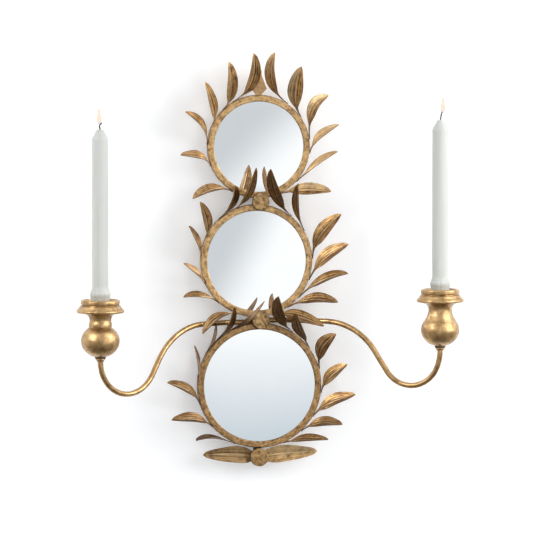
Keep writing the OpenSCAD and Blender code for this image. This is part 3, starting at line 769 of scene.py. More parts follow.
@dataclass
class LeafWreath:
    """Creased leaves round one ring, a right and a left one to each node."""

    ring: MirrorRing
    gilt: Material
    width: float = 22.0
    stem: float = 5.0
    sheet: float = 1.0
    fold: float = 0.34
    bare: float = 0.1
    swell: float = 1.3
    full: Pair = (1.15, 0.58)
    settle: float = 0.45
    bow_lift: float = 0.55
    tip: float = 4.4
    blunt: float = 0.05
    # Strength of the painted side light on the two halves of a leaf.
    side_light: float = 0.34
    rows: int = 48
    across: int = 37
    crowd: float = 1.35
    crease_soft: float = 0.004
    veins: float = 3.4
    thin_edge: float = 0.6
    sharp: float = 50.0

    def spine(self, plan: LeafPlan) -> Array:
        """Root, bow and tip of a leaf, in the front view: x, up, forward.

        The tip is the root + length (cos h, sin h) and the lift, with h the heading. The
        bow is the root + bow length along the ring, lifted too.

        Args:
            plan: The leaf.

        Returns:
            Three points in mm, shape (3, 3).
        """
        a, h = math.radians(plan.root), math.radians(plan.heading)
        r = self.ring.outer_r + 3 * SEAT + self.sheet / 2
        forward = self.ring.depth - self.ring.edge - self.stem / 2
        root = np.array([r * math.cos(a), r * math.sin(a), forward])
        along = np.array([-math.sin(a), math.cos(a), 0.0])
        tip = root + np.array([plan.length * math.cos(h), plan.length * math.sin(h), plan.lift])
        bow = root + along * plan.length * plan.bow + np.array([0, 0, plan.lift * self.bow_lift])
        return np.stack([root, bow, tip])

    def blade_half(self, t: Array) -> Array:
        """Half width along the leaf, with its tip rounded off.

        With u the share past the bare stem, the blade is half of w sin(pi u^swell)^full,
        with full blended from root to tip, or the stem where that is wider; over the
        last stretch it shrinks by sqrt(1 - 0.9 q^2), with q from 0 to 1.

        Args:
            t: Shares of the leaf's length.

        Returns:
            Half widths in mm.
        """
        u = np.maximum(0, (t - self.bare) / (1 - self.bare))
        past = np.maximum(0, (t - 1 + self.blunt) / self.blunt)
        wave = np.maximum(np.sin(np.pi * u**self.swell), 0)
        blade = self.width / 2 * wave ** lerp(*self.full, u)
        stem = lerp(self.stem, self.tip, ease(t)) / 2
        return np.sqrt(1 - 0.9 * past**2) * np.maximum(stem, blade)

    def blade(self, bones: Array, roll: float, tone: float, side: Side, seed: int) -> Skin:
        """Lofts a creased sheet along the curve through its bones.

        The middle line is (1-t)^2 A + 2t(1-t) B + t^2 C. Across it a point stands at
        wide s h + face (fold h |s| + rib + veins + half the sheet). Its tone carries painted
        light: painted shade at the root, a painted highlight towards the tip, and a rise of
        side_light tanh(3 s) times how far that half faces the upper left.

        Args:
            bones: Root, bow and tip, shape (3, 3).
            roll: Degrees by which the face turns forward.
            tone: 0 for a dark leaf, 1 for a bright one.
            side: Which side it will stand on.
            seed: Seed of its small unevenness.

        Returns:
            The leaf's skin in the front view.
        """
        rng = np.random.default_rng(seed)
        t = np.sin(np.linspace(0, np.pi / 2, self.rows))[:, None]
        a, b, c = bones
        way = unit(lerp(b - a, c - b, t))
        front = unit(np.array([0, 0, 1.0]) - way[:, 2:] * way)
        out = np.cross(way, front)
        turn = np.radians(roll) * (ease(t / self.settle) if self.settle else 1.0)
        wide = np.cos(turn) * front + np.sin(turn) * out
        face = np.sin(turn) * front - np.cos(turn) * out
        half = self.blade_half(t)
        even = np.linspace(-1, 1, self.across)
        s = np.sign(even) * np.abs(even) ** self.crowd
        s, top = np.append(s, s[::-1])[None], np.repeat([[1, -1]], self.across, 1)
        far, body = np.abs(s), ease(t / 0.25) * ease((1 - t) / 0.2)
        soft = np.sqrt(s**2 + self.crease_soft) - math.sqrt(self.crease_soft) * (1 - far)
        ridge = bell(s, 0.07)
        rib = ridge - 0.8 * bell(far - 0.2, 0.085)
        phase = rng.uniform(-0.4, 0.4)
        veins = np.cos(2 * np.pi * (self.veins * far**0.9 + phase + 0.35 * t)) * (1 - s**8)
        wavy = 1 + 0.03 * np.sin(2 * np.pi * (1.7 * t + rng.uniform())) * np.sign(s)
        curl = 0.35 * np.sin(2 * np.pi * (1.1 * t + rng.uniform())) * s**2
        lift = (self.fold * half * ease(t / 0.3) * soft + top * self.sheet / 2
                * lerp(1.0, self.thin_edge, far) + body * (0.45 * rib + 0.16 * veins + curl))
        grid = (bezier(bones, t)[:, None] + wide[:, None] * (s * half * wavy)[..., None]
                + face[:, None] * lift[..., None])
        relief = np.clip(0.5 + 0.6 * rib * body + 0.3 * veins * body
                         - 0.35 * ease((far - 0.88) / 0.12), 0, 1)
        worn = ridge * ease((t - 0.12) / 0.2) * ease((1.02 - t) / 0.25)
        uv = np.stack(np.broadcast_arrays(t, (s + 1) / 2 + rng.uniform(0, 8)), -1)
        # The tone carries painted light: painted shade at the root where it meets the ring, a
        # painted highlight that grows towards the tip, and a painted side light that brightens the
        # half facing the upper left and darkens the other.
        lit = (out[:, 1:2] - side.value * out[:, :1]) * 0.7
        shaded = tone * (0.25 + 0.75 * ease(t / 0.22)) * (0.90 + 0.2 * t)
        shaded = shaded * (1 + self.side_light * lit * np.tanh(3.0 * s))
        return skin_of(grid, (grid[0].mean(0), grid[-1].mean(0)), relief=relief, tone=shaded,
                       rib=worn, uv=uv)

    def placed(self, skin: Skin, side: Side, centre: Array) -> Skin:
        """Moves a leaf from the front view to (side x, -forward, up) off the centre."""
        skin.points = skin.points[:, [0, 2, 1]] * [side.value, -1, 1] + centre
        return skin

    def build(self) -> None:
        """Makes one piece for each pair of leaves."""
        for i, pair in enumerate(zip(*LEAVES[self.ring.level]), 1):
            skins = []
            for side, plan in zip((Side.RIGHT, Side.LEFT), (LeafPlan(*row) for row in pair)):
                leaf = self.blade(self.spine(plan), plan.roll, plan.tone, side,
                                  self.ring.seed * 100 + i * 2 + side.value)
                skins.append(self.placed(leaf, side, self.ring.centre))
            node = f"{self.ring.level}_leaves_{i}"
            make_piece(f"{node}_creased", skins, self.gilt, node,
                       sharp=self.sharp)


@dataclass
class BasePair(LeafWreath):
    """Two broad flat leaves that spread from behind the lowest disc."""

    width: float = 23.0
    # A weaker painted side light on the base leaves.
    side_light: float = 0.12
    bare: float = 0.0
    swell: float = 0.75
    full: Pair = (0.8, 0.45)
    settle: float = 0.0
    lengths: Pair = (74.0, 77.0)
    rises: Pair = (4.0, 7.0)
    tones: Pair = (0.36, 1.1)
    roll: float = 82.0
    arch: float = 5.0
    arch_at: float = 0.4
    behind: float = 6.0
    stem_r: float = 3.0
    seed: int = 77

    def build(self) -> None:
        """Makes the pair as one piece."""
        mid = box_of("bottom_disc")[0]
        centre = np.array([mid[0], self.ring.centre[1], mid[2]])
        root = np.array([self.stem_r + 2 * SEAT, 0.0, self.ring.depth - self.behind])
        skins = []
        for side, length, rise, tone in zip(Side, self.lengths, self.rises, self.tones):
            bones = np.stack([root, root + [length * self.arch_at, self.arch, 0.0],
                              root + [length, rise, self.behind]])
            leaf = self.blade(bones, self.roll, tone, side, self.seed + side.value)
            skins.append(self.placed(leaf, side, centre))
        make_piece("base_leaves_creased", skins, self.gilt, "base_leaves",
                   sharp=self.sharp)


@dataclass
class CoinDisc:
    """A coin on a short stem, its face hammered and its rim rubbed, with painted shade on its side
    and outer edge.
    """

    level: str
    seed: int
    gilt: Material
    thick: float = 5.0
    bevel: float = 1.2
    back_edge: float = 0.5
    stem_r: float = 3.0
    hub_r: float = 0.4
    marks: int = 34
    mark_r: float = 2.6
    mark_depth: float = 0.42
    swell_size: float = 7.0
    rim_swell: float = 0.22
    turns: int = 96

    def build(self) -> None:
        """Spins the coin and dents its face by the mark depth times the hammer marks."""
        mid, lo, hi = box_of(f"{self.level}_disc")
        centre = np.array([mid[0], 0.0, mid[2]])
        r, front, foot = (hi[0] - lo[0]) / 2, -lo[1], -hi[1]
        back, e = front - self.thick, self.back_edge
        flat = outline(
            (self.hub_r, foot), (self.stem_r, foot), (self.stem_r, back), (r - e, back),
            (r, back + e), arc((r - self.bevel, front - self.bevel), (self.bevel,) * 2,
                               (0, 90), 6), (self.hub_r, front), step=0.8)
        grid = spin(flat, centre, Axis.FORWARD, self.turns)
        rng = np.random.default_rng(self.seed)
        a = rng.uniform(0, 2 * np.pi, self.marks)
        spots = polar(np.sqrt(rng.uniform(0, 1, self.marks)) * r, a, -front) + centre
        deep, worn = dents(grid, spots, self.mark_r), ripple(grid, self.swell_size, self.seed)
        grid[..., 1] += self.mark_depth * deep * ease((flat[:, 1:] - back) / self.thick)
        rim = flat[:, :1] > self.stem_r + 0.5
        grid = pushed(grid, centre, Axis.FORWARD, self.rim_swell * worn * rim)
        # Painted shade on the coin's side wall and on the outer edge of its face.
        side = ease(front - self.bevel * 0.7 - flat[:, 1:])
        side = np.maximum(side, fade(r - flat[:, :1], 0.45))
        relief = np.clip(0.68 - 0.45 * deep + 0.25 * worn - 0.7 * side, 0, 1)
        ends = centre - [0, foot, 0], np.append(grid[-1].mean(0)[:2], centre[2])
        make_piece(f"{self.level}_disc_hammered", [skin_of(grid, ends, relief=relief)],
                   self.gilt, f"{self.level}_disc")


@dataclass(frozen=True)
class Bend:
    """One stretch of a rod: a straight run, then a bend in the plane of its roll."""

    run: float
    radius: float = 0.0
    turn: float = 0.0
    roll: float = 0.0


def about_x(degrees: float) -> Array:
    """Rotation matrix about the first axis."""
    c, s = math.cos(math.radians(degrees)), math.sin(math.radians(degrees))
    return np.array([[1, 0, 0], [0, c, -s], [0, s, c]])


@dataclass
class CandleArm:
    """A bent round rod from the spine bar out to a candle cup."""

    side: Side
    gilt: Material
    level_run: float
    shoulder_r: float
    drop: float
    slope: float
    bend_r: float
    rise_r: float
    rise_from: float
    below_gap: float
    rod_d: float = 7.5
    corner_x: float = 42.0
    corner_r: float = 35.0
    forward: float = 33.0
    end_run: float = 4.0
    start_x: float = 5.05
    start_y: float = 11.05
    turns: int = 28
    swell: float = 0.09
    swell_size: float = 11.0
    seed: int = 31

    def bends(self) -> list[Bend]:
        """The rod's stretches from the spine bar to the cup.

        Returns:
            The stretches in order.
        """
        tangent = self.corner_r * math.tan(math.radians(self.forward / 2))
        return [
            Bend(self.corner_x - tangent - self.start_x, self.corner_r, self.forward, 90),
            Bend(self.level_run, self.shoulder_r, -self.drop),
            Bend(self.slope, self.bend_r, self.drop + self.rise_from),
            Bend(0, self.rise_r, 90 - self.rise_from), Bend(self.end_run)]

    def line(self, z: float) -> tuple[Array, Array]:
        """Middle line of the rod and its turning frame.

        On a run the line is p + x F1. On a bend by angle a it is
        p + F (r sin a, 0, r (1 - cos a)), with F turned by the roll.

        Args:
            z: Height of the rod's start.

        Returns:
            Points of shape (n, 3) and frames of shape (n, 3, 3).
        """
        at, turned = np.array([self.start_x, self.start_y, z]), np.eye(3)
        points, frames = [at[None]], [turned[None]]
        for b in self.bends():
            if b.run > 0:
                steps = np.linspace(0, b.run, max(2, int(b.run / 4)) + 1)[1:, None]
                points.append(at + steps * turned[:, 0])
                frames.append(np.repeat(turned[None], len(steps), 0))
                at = points[-1][-1]
            if b.radius > 0:
                n = max(4, int(abs(b.turn) / 2.5))
                a = np.radians(np.linspace(0, abs(b.turn), n + 1))[1:]
                sign, plane = math.copysign(1, b.turn), turned @ about_x(b.roll)
                c, s, o = np.cos(a), sign * np.sin(a), 0 * a
                local = np.stack([sign * s, o, sign * (1 - c)], -1) * b.radius
                swing = np.stack([c, o, -s, o, o + 1, o, s, o, c], -1).reshape(-1, 3, 3)
                points.append(at + local @ plane.T)
                frames.append(plane @ swing @ about_x(-b.roll))
                at, turned = points[-1][-1], frames[-1][-1]
        return np.concatenate(points), np.concatenate(frames)

    def build(self) -> None:
        """Sweeps a slightly uneven circle, F (0, r cos a, r sin a), along the line."""
        points, frames = self.line(box_of("lower_disc")[0][2] - self.below_gap)
        ring = polar(1.0, stops(self.turns), 0.0)[:, [1, 0, 2]] * self.rod_d / 2
        flip = np.array([self.side.value, 1, 1])
        grid = (points[:, None] + np.einsum("nij,mj->nmi", frames, ring)) * flip
        points = points * flip
        worn = ripple(grid, self.swell_size, self.seed + self.side.value)
        grid += unit(grid - points[:, None]) * (self.swell * worn)[..., None]
        skin = skin_of(grid, (points[0], points[-1]), relief=np.clip(0.55 + 0.3 * worn, 0, 1))
        node = self.side.node("arm")
        make_piece(f"{node}_bent", [skin], self.gilt, node)


@dataclass
class CandleCup:
    """A turned cup: foot, ball, neck, flange, lip and the socket for a candle."""

    side: Side
    gilt: Material
    neck_r: float
    bead: float
    height: float = 77.0
    ball_r: float = 26.0
    ball_half_h: float = 22.5
    foot_r: float = 7.3
    neck_z: float = -28.03
    flange_r: float = 32.2
    flange_z: float = -15.4
    groove_z: float = -7.5
    lip_r: float = 26.2
    wall: float = 5.0
    dish: float = 3.5
    socket_floor: float = -27.5
    socket_r: float = 12.62
    hole_r: float = 2.2
    round_r: float = 2.0
    turns: int = 128
    wear_sizes: Pair = (9.0, 4.0)
    seeds: tuple[int, int] = (51, 61)
    # Height, width and darkness of the painted shade in each hollow. The last one is the bead's.
    hollows: tuple[Triple, ...] = ((-7.5, 1.3, 1.0), (-20.0, 2.2, 0.8), (-37.4, 0.9, 0.5))

    def profile(self) -> Array:
        """Section of the cup from the screw hole round the outside and down the socket.

        A bead joins ball and neck, or a smooth curve that leaves the ball along its side.

        Returns:
            Radius and height under the lip, shape (n, 2).
        """
        foot_a = -math.degrees(math.acos(self.foot_r / self.ball_r))
        ball_z = -self.height - self.ball_half_h * math.sin(math.radians(foot_a))
        groove, nr, lr, q = self.groove_z, self.neck_r, self.lip_r, self.round_r
        top_a = 44 if self.bead else 30
        ball = arc((0, ball_z), (self.ball_r, self.ball_half_h), (foot_a, top_a), 30)[1:]
        if self.bead:
            join = arc((nr - 1, self.neck_z - 6), (self.bead + 0.6, 5.5), (-35, 60), 12)
        else:
            neck, third = np.array([nr, self.neck_z]), (self.neck_z - ball[-1, 1]) / 3
            lean = -self.ball_r / self.ball_half_h * math.tan(math.radians(top_a))
            join = bezier([ball[-1], ball[-1] + [lean * third, third], neck - [0, third], neck],
                          np.linspace(0, 1, 13)[1:, None])
        dish_r = lr - self.wall
        return outline(
            (self.hole_r, -self.height), (self.foot_r, -self.height),
            ball, join, arc((nr + 7, self.neck_z), (7, 9), (180, 100), 10),
            arc((self.flange_r - q, self.flange_z), (q, q), (-75, 35), 9),
            (lr + 3, self.flange_z + 4), (lr + 0.8, groove - 0.5), (lr - 0.6, groove),
            arc((lr - q, groove + 2.5), (q, q), (-60, 0), 4),
            arc((lr - q, -q), (q, q), (0, 90), 7), (dish_r + 0.8, 0.0), (dish_r, -self.dish),
            (self.socket_r, -self.dish), (self.socket_r, self.socket_floor),
            (self.hole_r, self.socket_floor), (self.hole_r, -self.height + 1.5), step=1.3)

    def build(self) -> None:
        """Spins the cup, wears its lip and flange unevenly and paints shade in its hollows."""
        node = self.side.node("cup")
        mid, _, hi = box_of(node)
        centre = np.array([mid[0], mid[1], hi[2]])
        flat = self.profile()
        r, z = flat[:, :1], flat[:, 1:]
        grid = spin(flat, centre, Axis.UP, self.turns)
        worn, fine = (ripple(grid, size, seed + self.side.value)
                      for size, seed in zip(self.wear_sizes, self.seeds))
        outer = (r > self.socket_r + 2) & (z > -self.height + 4)
        edge = 0.16 * (worn + 0.6 * fine) * ease((z + 19) / 3)
        grid = pushed(grid, centre, Axis.UP, (0.10 * worn + edge) * outer)
        # Painted shade in the groove, under the flange and under the bead.
        hollows = self.hollows if self.bead else self.hollows[:-1]
        hollow_shade = sum(dark * bell(z - at, width) for at, width, dark in hollows)
        relief = np.clip(0.58 + 0.25 * worn + 0.12 * fine - 0.5 * hollow_shade, 0, 1)
        make_piece(f"{node}_turned", [skin_of(grid, relief=relief)], self.gilt,
                   node)


@dataclass
class RodCollar:
    """The turned collar on a rod's end, under the washer that the cup stands on."""

    side: Side
    rod_r: float = 3.8
    rim_r: float = 6.5
    rim_round: float = 0.95
    foot_r: float = 4.95
    height: float = 4.0
    turns: int = 48

    def skin(self) -> Skin:
        """Spins the collar: a round rim above a hollow that narrows to the rod.

        Returns:
            Its closed skin.
        """
        mid = box_of(self.side.node("cup"))[0]
        _, lo, hi = box_of("arm_collars")
        top = hi[2] if self.side is Side.RIGHT else lo[2] + self.height
        foot, q = -self.height, self.rim_round
        flat = outline(
            (self.rod_r, foot), (self.foot_r, foot),
            arc((self.foot_r + 1.0, foot + 0.2), (1.0, 1.7), (180, 100), 6),
            arc((self.rim_r - q, -1.0), (q, q), (-70, 70), 8), (self.rod_r, 0.0), step=0.6)
        grid = spin(flat, np.array([mid[0], mid[1], top]), Axis.UP, self.turns)
        relief = np.clip(0.35 + 0.6 * (flat[:, :1] - self.foot_r), 0, 1)
        return skin_of(grid, relief=np.repeat(relief, self.turns, 1))


@dataclass
class Candle:
    """A tapered dinner candle with a fluted end, its wick and its flame."""

    side: Side
    flame_lean: float
    wax: Material
    char: Material
    fire: Material
    height: float = 229.0
    r: float = 11.1
    tip_r: float = 4.8
    shoulder: float = 12.0
    seat: float = 23.0
    bulge_r: float = 14.0
    bulge_z: float = 8.5
    foot_r: float = 9.5
    flutes: int = 14
    flute_depth: float = 0.42
    flute_stops: int = 8
    wick_r: float = 0.6
    flame_h: float = 24.0
    flame_r: float = 3.6
    flame_low: float = 3.0
    flame_stops: tuple[int, int] = (22, 28)

    def profile(self) -> Array:
        """Section of the candle from its foot to its tip.

        Returns:
            Radius and height over the cup's lip, shape (n, 2).
        """
        h, top, bulge, r = self.height, self.height - self.shoulder, self.bulge_z, self.r
        return outline(
            (self.foot_r - 0.6, -self.seat), (self.foot_r, -self.seat + 0.6),
            (self.bulge_r - 0.7, bulge - 4.0),
            arc((self.bulge_r - 2.4, bulge - 1.5), (2.4, 4.5), (-12, 62), 9),
            (r + 0.5, bulge + 6.5), (r, bulge + 8), (r, top - 0.8), (r - 0.5, top + 0.7),
            (self.tip_r, h - 1), (self.tip_r - 0.5, h - 0.3), (self.tip_r - 1, h), step=3.0)

    def build(self) -> None:
        """Makes the candle with its flutes, dresses the wick and lights it.

        A flute is cut in by depth max(cos(flutes a), 0)^1.5 and runs out over the bulge.
        """
        mid, _, hi = box_of(self.side.node("cup"))
        centre, flat = np.array([mid[0], mid[1], hi[2]]), self.profile()
        a = stops(self.flutes * self.flute_stops)
        fluted = self.flute_depth * (1 - ease((flat[:, 1:] - self.bulge_z - 1) / 3.5))
        cut = fluted * np.maximum(np.cos(self.flutes * a), 0) ** 1.5
        grid = pushed(spin(flat, centre, Axis.UP, len(a)), centre, Axis.UP, -cut)
        node, wick = self.side.node("candle"), self.side.node("wick")
        ends = centre - [0, 0, self.seat], centre + [0, 0, self.height]
        make_piece(f"{node}_dipped", [skin_of(grid, ends)], self.wax, node, node,
                   30)
        dress(wick, self.char)
        mid, lo, hi = box_of(wick)
        foot_x = hi[0] if self.side is Side.RIGHT else lo[0] + self.wick_r
        self.light(np.array([foot_x, mid[1], hi[2] - self.flame_low]))

    def light(self, foot: Array) -> None:
        """Makes the flame: a drop of radius R sin(pi t^0.62) (1 - 0.35 t), leaning by t^2.

        Args:
            foot: Where the flame starts, in mm.
        """
        rows, turns = self.flame_stops
        t = np.linspace(0.03, 0.985, rows)[:, None]
        r = self.flame_r * np.sin(np.pi * t**0.62) * (1 - 0.35 * t)
        grid = spin(np.concatenate([r, t * self.flame_h], 1), foot, Axis.UP, turns)
        grid[..., 0] += self.flame_lean * t**2
        tip = foot + [self.flame_lean, 0, self.flame_h]
        skin = skin_of(grid, (foot, tip), height=np.repeat(t, turns, 1))
        make_piece(self.side.node("flame"), [skin], self.fire,
                   body=self.side.node("candle"))


# ---- the studio ----


@dataclass
class Studio:
    """White wall, pale floor, two side lamps, a card for the mirrors and the camera."""

    azimuth: float = -9.0
    elevation: float = 4.2
    view_width: float = 0.7366
    lens: float = 500.0
    sensor: float = 36.0
    target: Triple = (0.01704, 0.007, -0.2712)
    wall_y: float = 0.0172
    floor_z: float = -0.9
    reach: float = 4.0
    paper_tint: Colour = (0.994, 1.0, 1.006)
    card_y: float = -1.5
    card_x: Pair = (-0.25, 0.75)
    card_z: Pair = (-0.95, 0.15)
    card_light: float = 1.07
    card_stops: int = 120
    lamp_away: float = 1.9

    @property
    def back(self) -> Vector:
        """Unit vector from the sconce to the camera: (sin a cos e, -cos a cos e, sin e)."""
        a, e = math.radians(self.azimuth), math.radians(self.elevation)
        return Vector((math.sin(a) * math.cos(e), -math.cos(a) * math.cos(e), math.sin(e)))

    def aim(self, thing: Object, way: Vector, away: float) -> None:
        """Stands a camera or lamp at target + way times away and turns it to the target."""
        thing.location = Vector(self.target) + way * away
        thing.rotation_mode = "QUATERNION"
        thing.rotation_quaternion = (-way).to_track_quat("-Z", "Y")

    def camera(self) -> None:
        """Places a long lens in line with the photograph's view."""
        lens = bpy.data.cameras.new("camera")
        away = self.view_width * self.lens / self.sensor
        lens.lens, lens.sensor_width, lens.clip_end = self.lens, self.sensor, away * 4
        bpy.context.scene.camera = stand("camera", lens)
        self.aim(bpy.context.scene.camera, self.back, away)

    def lamp(self, name: str, way: Triple, size: float, power: float) -> None:
        """Aims a soft square lamp at the sconce.

        Args:
            name: Name of the lamp.
            way: Direction from the sconce to it.
            size: Side of the square in metres.
            power: Power in watts.
        """
        data = bpy.data.lights.new(name, "AREA")
        data.size, data.energy = size, power
        self.aim(stand(name, data), Vector(way).normalized(), self.lamp_away)

    def sheet(self, name: str, points: Array, quads: Array, material: Material) -> Object:
        """Makes one sheet of the studio.

        Args:
            name: Name of the sheet.
            points: Its points in metres, shape (n, 3).
            quads: The corners of its faces, shape (m, 4).
            material: Its finish.

        Returns:
            The new object.
        """
        mesh = bpy.data.meshes.new(name)
        mesh.from_pydata(points.tolist(), [], quads.tolist())
        mesh.materials.append(material)
        sheet = stand(name, mesh)
        return sheet

    def paper(self, name: str, albedo: float, glow: float) -> Paint:
        """White paper that reads as white to the eye and in reflections.

        Args:
            name: Name of the finish.
            albedo: How pale it is under the lamps.
            glow: Light added for the camera and for reflections.

        Returns:
            The paper's shades.
        """
        s = Paint(name)
        path = s.add("LightPath").outputs
        seen = s.sums("MAXIMUM", path["Is Camera Ray"], path["Is Glossy Ray"])
        seen = s.sums("MAXIMUM", seen, path["Is Transmission Ray"])
        s.done(Base_Color=tuple(albedo * c for c in self.paper_tint), Roughness=1.0,
               Specular_IOR_Level=0.0, Emission_Color=WHITE,
               Emission_Strength=s.sums("MULTIPLY", seen, glow))
        return s

    def room(self) -> None:
        """Hangs the wall, which is clear from behind, and lays the floor."""
        y, z, w = self.wall_y, self.floor_z, self.reach
        quad = np.array([[0, 1, 2, 3]])
        s = self.paper("wall_paper", albedo=0.86, glow=0.22)
        behind = s.add("NewGeometry").outputs["Backfacing"]
        clear = s.add("BsdfTransparent").outputs[0]
        s.feed(s.out, {"Surface": s.blend(behind, s.base.outputs[0], clear)})
        self.sheet("wall", np.array([[-w, y, z], [w, y, z], [w, y, w], [-w, y, w]]), quad,
                   s.material)
        under = self.sheet("floor", np.array([[-w, -w, z], [w, -w, z], [w, w, z], [-w, w, z]]),
                           quad, self.paper("floor_paper", albedo=0.8, glow=0.15).material)
        under.visible_glossy = False

    def card_lights(self, x: Array, z: Array) -> Array:
        """Light of the card: pale grey at the upper left of each mirror, then white.

        Over a mirror's patch the light is a smooth step of u - slope v, the distance
        along a slanting line, or for the lowest a straight fall with height v. Outside
        the patches it is white.

        Args:
            x: Across, in metres.
            z: Up, in metres.

        Returns:
            Colours of shape (n, n, 3).
        """
        away = self.card_y / self.back[1]
        light = np.full((*x.shape, 3), self.card_light)
        for level, slope, start, run in (("top", 1.0, 1.25, 2.1), ("middle", 0.5, 0.95, 1.3),
                                         ("bottom", 0.0, 0.0, 0.0)):
            mid, lo, hi = (v * MM for v in box_of(f"{level}_mirror"))
            r = (hi[0] - lo[0]) / 2
            u = (x - mid[0] + self.back[0] * away) / r
            v = (z - mid[2] + self.back[2] * away) / r
            grey, share = (0.63, 0.69, 0.735), np.clip(0.37 - 0.47 * v + 0.05 * u**2, 0, 1)
            if run:
                grey, share = (0.655, 0.68, 0.695), 1 - ease((u - slope * v + start) / run)
            k = (share * ease((1.8 - np.hypot(u, v)) / 0.4))[..., None]
            light = light * (1 - k) + np.array(grey) * k
        return light

    def card(self) -> None:
        """Hangs the card that the mirrors reflect, as a grid whose points keep their light."""
        n = self.card_stops
        x, z = np.meshgrid(np.linspace(*self.card_x, n), np.linspace(*self.card_z, n))
        at = np.arange(n * n).reshape(n, n)
        quads = np.stack([at[:-1, :-1], at[:-1, 1:], at[1:, 1:], at[1:, :-1]], -1)
        s = Paint("mirror_card")
        glow = s.add("Emission", {"Color": s.value("light", "Color")}).outputs[0]
        s.feed(s.out, {"Surface": glow})
        points = np.stack([x, np.full_like(x, self.card_y), z], -1).reshape(-1, 3)
        card = self.sheet("mirror_card", points, quads.reshape(-1, 4), s.material)
        light = np.pad(self.card_lights(x, z), ((0, 0), (0, 0), (0, 1)), constant_values=1.0)
        layer = card.data.attributes.new("light", "FLOAT_COLOR", "POINT")
        layer.data.foreach_set("color", light.astype(np.float32).ravel())
        for ray in ("camera", "diffuse", "shadow", "transmission"):
            setattr(card, f"visible_{ray}", False)

    def world(self) -> None:
        """Surrounds the studio with an even light, brighter overhead in reflections.

        In reflections the light rises with height and from the middle to the sides. It
        is warm below and turns neutral towards the top.
        """
        world = bpy.data.worlds.new("studio")
        bpy.context.scene.world = world
        s = Shades(world)
        split = s.add("SeparateXYZ", {0: s.place["Generated"]}).outputs
        steps = []
        for at, level in ((0.0, 0.15), (0.40, 0.23), (0.56, 0.50), (0.78, 0.95)):
            warm = 0.12 * (1 - at)
            steps.append((at, (level * (1 + warm), level, level * (1 - warm))))
        sides = s.spread(s.sums("ABSOLUTE", split["X"]), (0.12, 0.75), (0.72, 1.5))
        rising = s.ramp(s.spread(split["Z"], (-1.0, 1.0)), steps)
        even, shown, white = (s.add("Background", feeds).outputs[0] for feeds in (
            {"Color": (0.95, 0.97, 1.0), "Strength": 0.45},
            {"Color": rising, "Strength": sides}, {"Color": WHITE}))
        path = s.add("LightPath").outputs
        lit = s.blend(path["Is Glossy Ray"], even, shown)
        s.add("OutputWorld", {"Surface": s.blend(path["Is Camera Ray"], lit, white)})

    def build(self) -> None:
        """Sets up the whole studio."""
        self.camera()
        self.room()
        self.card()
        self.lamp("right_lamp", (0.78, -0.56, 0.36), size=1.45, power=27.0)
        self.lamp("left_lamp", (-0.80, -0.48, 0.42), size=0.9, power=12.5)
        self.world()
        bpy.context.scene.view_settings.view_transform = "Standard"


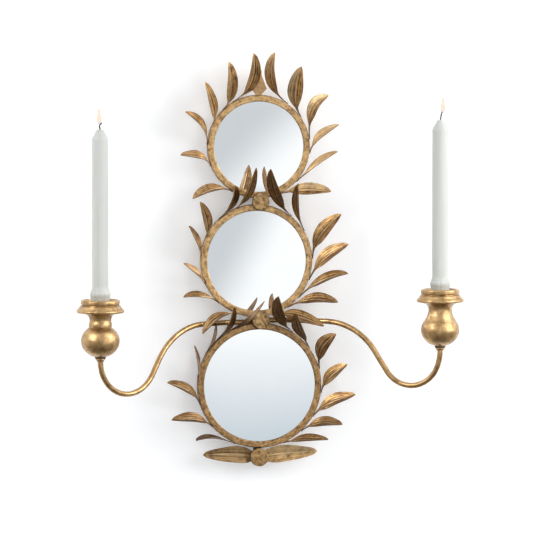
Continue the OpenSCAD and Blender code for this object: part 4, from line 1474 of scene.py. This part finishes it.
@dataclass
class Sconce:
    """The whole sconce: rings, wreaths, discs, arms, cups, candles and plain fittings."""

    ring_gilt: GiltFinish = GiltFinish(
        "ring_gilt", (0.84, 0.58, 0.28), (0.61, 0.39, 0.17), (0.15, 0.072, 0.025),
        cloud=280.0, relief=0.78, dark_at=0.24, speck=0.4)
    low_ring_gilt: GiltFinish = GiltFinish(
        "low_ring_gilt", (0.62, 0.40, 0.17), (0.41, 0.24, 0.092), (0.10, 0.048, 0.016),
        cloud=260.0, relief=0.8, dark_at=0.28, speck=0.4)
    leaf_gilt: GiltFinish = GiltFinish(
        "leaf_gilt", (1.0, 0.655, 0.28), (0.54, 0.30, 0.106), (0.09, 0.039, 0.013), 0.82, 0.31,
        0.3, relief=0.9, streak=0.62, pattern=Pattern.ALONG_LEAF)
    base_gilt: GiltFinish = GiltFinish(
        "base_gilt", (0.90, 0.62, 0.29), (0.60, 0.38, 0.16), (0.11, 0.056, 0.020),
        roughness=0.45, relief=0.5, streak=0.45, pattern=Pattern.ALONG_LEAF)
    disc_gilt: GiltFinish = GiltFinish(
        "disc_gilt", (0.71, 0.48, 0.22), (0.49, 0.305, 0.125), (0.10, 0.050, 0.018),
        cloud=200.0, relief=0.85, dark_at=0.27)
    plate_gilt: GiltFinish = GiltFinish(
        "plate_gilt", (0.95, 0.68, 0.36), (0.76, 0.51, 0.25), (0.34, 0.19, 0.08), 0.5, 0.5,
        cloud=240.0)
    cup_gilt: GiltFinish = GiltFinish(
        "cup_gilt", (0.68, 0.455, 0.22), (0.54, 0.35, 0.155), (0.27, 0.15, 0.056), 0.92, 0.36,
        0.4, 80.0, 0.85, depth=0.0001, pattern=Pattern.TURNED)
    rod_gilt: GiltFinish = GiltFinish(
        "rod_gilt", (0.66, 0.43, 0.19), (0.46, 0.28, 0.11), (0.17, 0.086, 0.03), 0.9, 0.30,
        0.5, 90.0, depth=0.0001)
    iron: PlainFinish = PlainFinish(
        "brown_iron", (0.16, 0.105, 0.06), (0.07, 0.045, 0.028), 120.0, 0.6, 0.4)
    steel: PlainFinish = PlainFinish(
        "dull_steel", (0.34, 0.32, 0.29), (0.22, 0.20, 0.18), 60.0, 0.42, 0.9,
        (1.0, 1.0, 14.0), 0.00006)
    board: PlainFinish = PlainFinish(
        "brown_board", (0.27, 0.20, 0.13), (0.17, 0.12, 0.075), 55.0, 0.9, 0.0,
        (1.0, 1.0, 5.0), 0.00025)
    felt: PlainFinish = PlainFinish(
        "brown_felt", (0.11, 0.085, 0.065), (0.05, 0.04, 0.03), 700.0, 0.95, depth=0.0005)
    char: PlainFinish = PlainFinish(
        "charred_cotton", (0.05, 0.045, 0.04), (0.012, 0.010, 0.010), 1500.0, 0.9)

    def front(self) -> None:
        """Builds the rings with their glasses, then the leaves and the discs."""
        gilt, low_gilt = self.ring_gilt.build(), self.low_ring_gilt.build()
        silver = MirrorFinish("silvered_glass").build()
        rings = [MirrorRing(level, mirror_r, seed, finish, silver)
                 for seed, (level, mirror_r, finish) in enumerate((
                     ("top", 61.5, gilt), ("middle", 68.0, gilt), ("bottom", 76.5, low_gilt)), 1)]
        for ring in rings:
            ring.build()
        leaf_gilt, disc_gilt = self.leaf_gilt.build(), self.disc_gilt.build()
        for ring in rings:
            LeafWreath(ring, leaf_gilt).build()
        BasePair(rings[-1], self.base_gilt.build()).build()
        for seed, (level, finish) in enumerate(zip(DISCS, (disc_gilt, disc_gilt, low_gilt)), 11):
            CoinDisc(level, seed, finish).build()

    def arms(self) -> None:
        """Builds the arms, their collars and the cups, then the candles."""
        rod_gilt, cup_gilt = self.rod_gilt.build(), self.cup_gilt.build()
        CandleArm(Side.LEFT, rod_gilt, level_run=33, shoulder_r=94, drop=59, slope=20,
                  bend_r=51, rise_r=45, rise_from=49, below_gap=4.0).build()
        CandleArm(Side.RIGHT, rod_gilt, level_run=47, shoulder_r=87, drop=56, slope=32,
                  bend_r=42, rise_r=60, rise_from=66, below_gap=1.5).build()
        make_piece("rod_collars_turned", [RodCollar(side).skin() for side in Side], rod_gilt,
                   "arm_collars")
        CandleCup(Side.LEFT, cup_gilt, neck_r=14.6, bead=1.5).build()
        CandleCup(Side.RIGHT, cup_gilt, neck_r=16.0, bead=0.0).build()
        wax, fire = WaxFinish("ivory_wax").build(), FlameFinish("candle_fire").build()
        char = self.char.build()
        Candle(Side.LEFT, -0.6, wax, char, fire).build()
        Candle(Side.RIGHT, 0.3, wax, char, fire).build()

    def fittings(self) -> None:
        """Dresses the plain CAD pieces."""
        for finish, nodes in (
                (self.plate_gilt, ["hanging_plate"]), (self.felt, ["wall_pads"]),
                (self.iron, ["spine_bar", "cup_washers"]),
                (self.steel, ["backing_tabs", "cup_screws"]),
                (self.board, ["top_backing", "middle_backing", "bottom_backing"])):
            material = finish.build()
            for node in nodes:
                dress(node, material)

    def build(self) -> None:
        """Builds every piece in order from the wall outwards."""
        self.front()
        self.arms()
        self.fittings()


def main() -> None:
    """Builds the studio and the sconce."""
    logging.basicConfig(level=logging.INFO, format="%(message)s")
    Studio().build()
    Sconce().build()


if __name__ == "__main__":
    main()
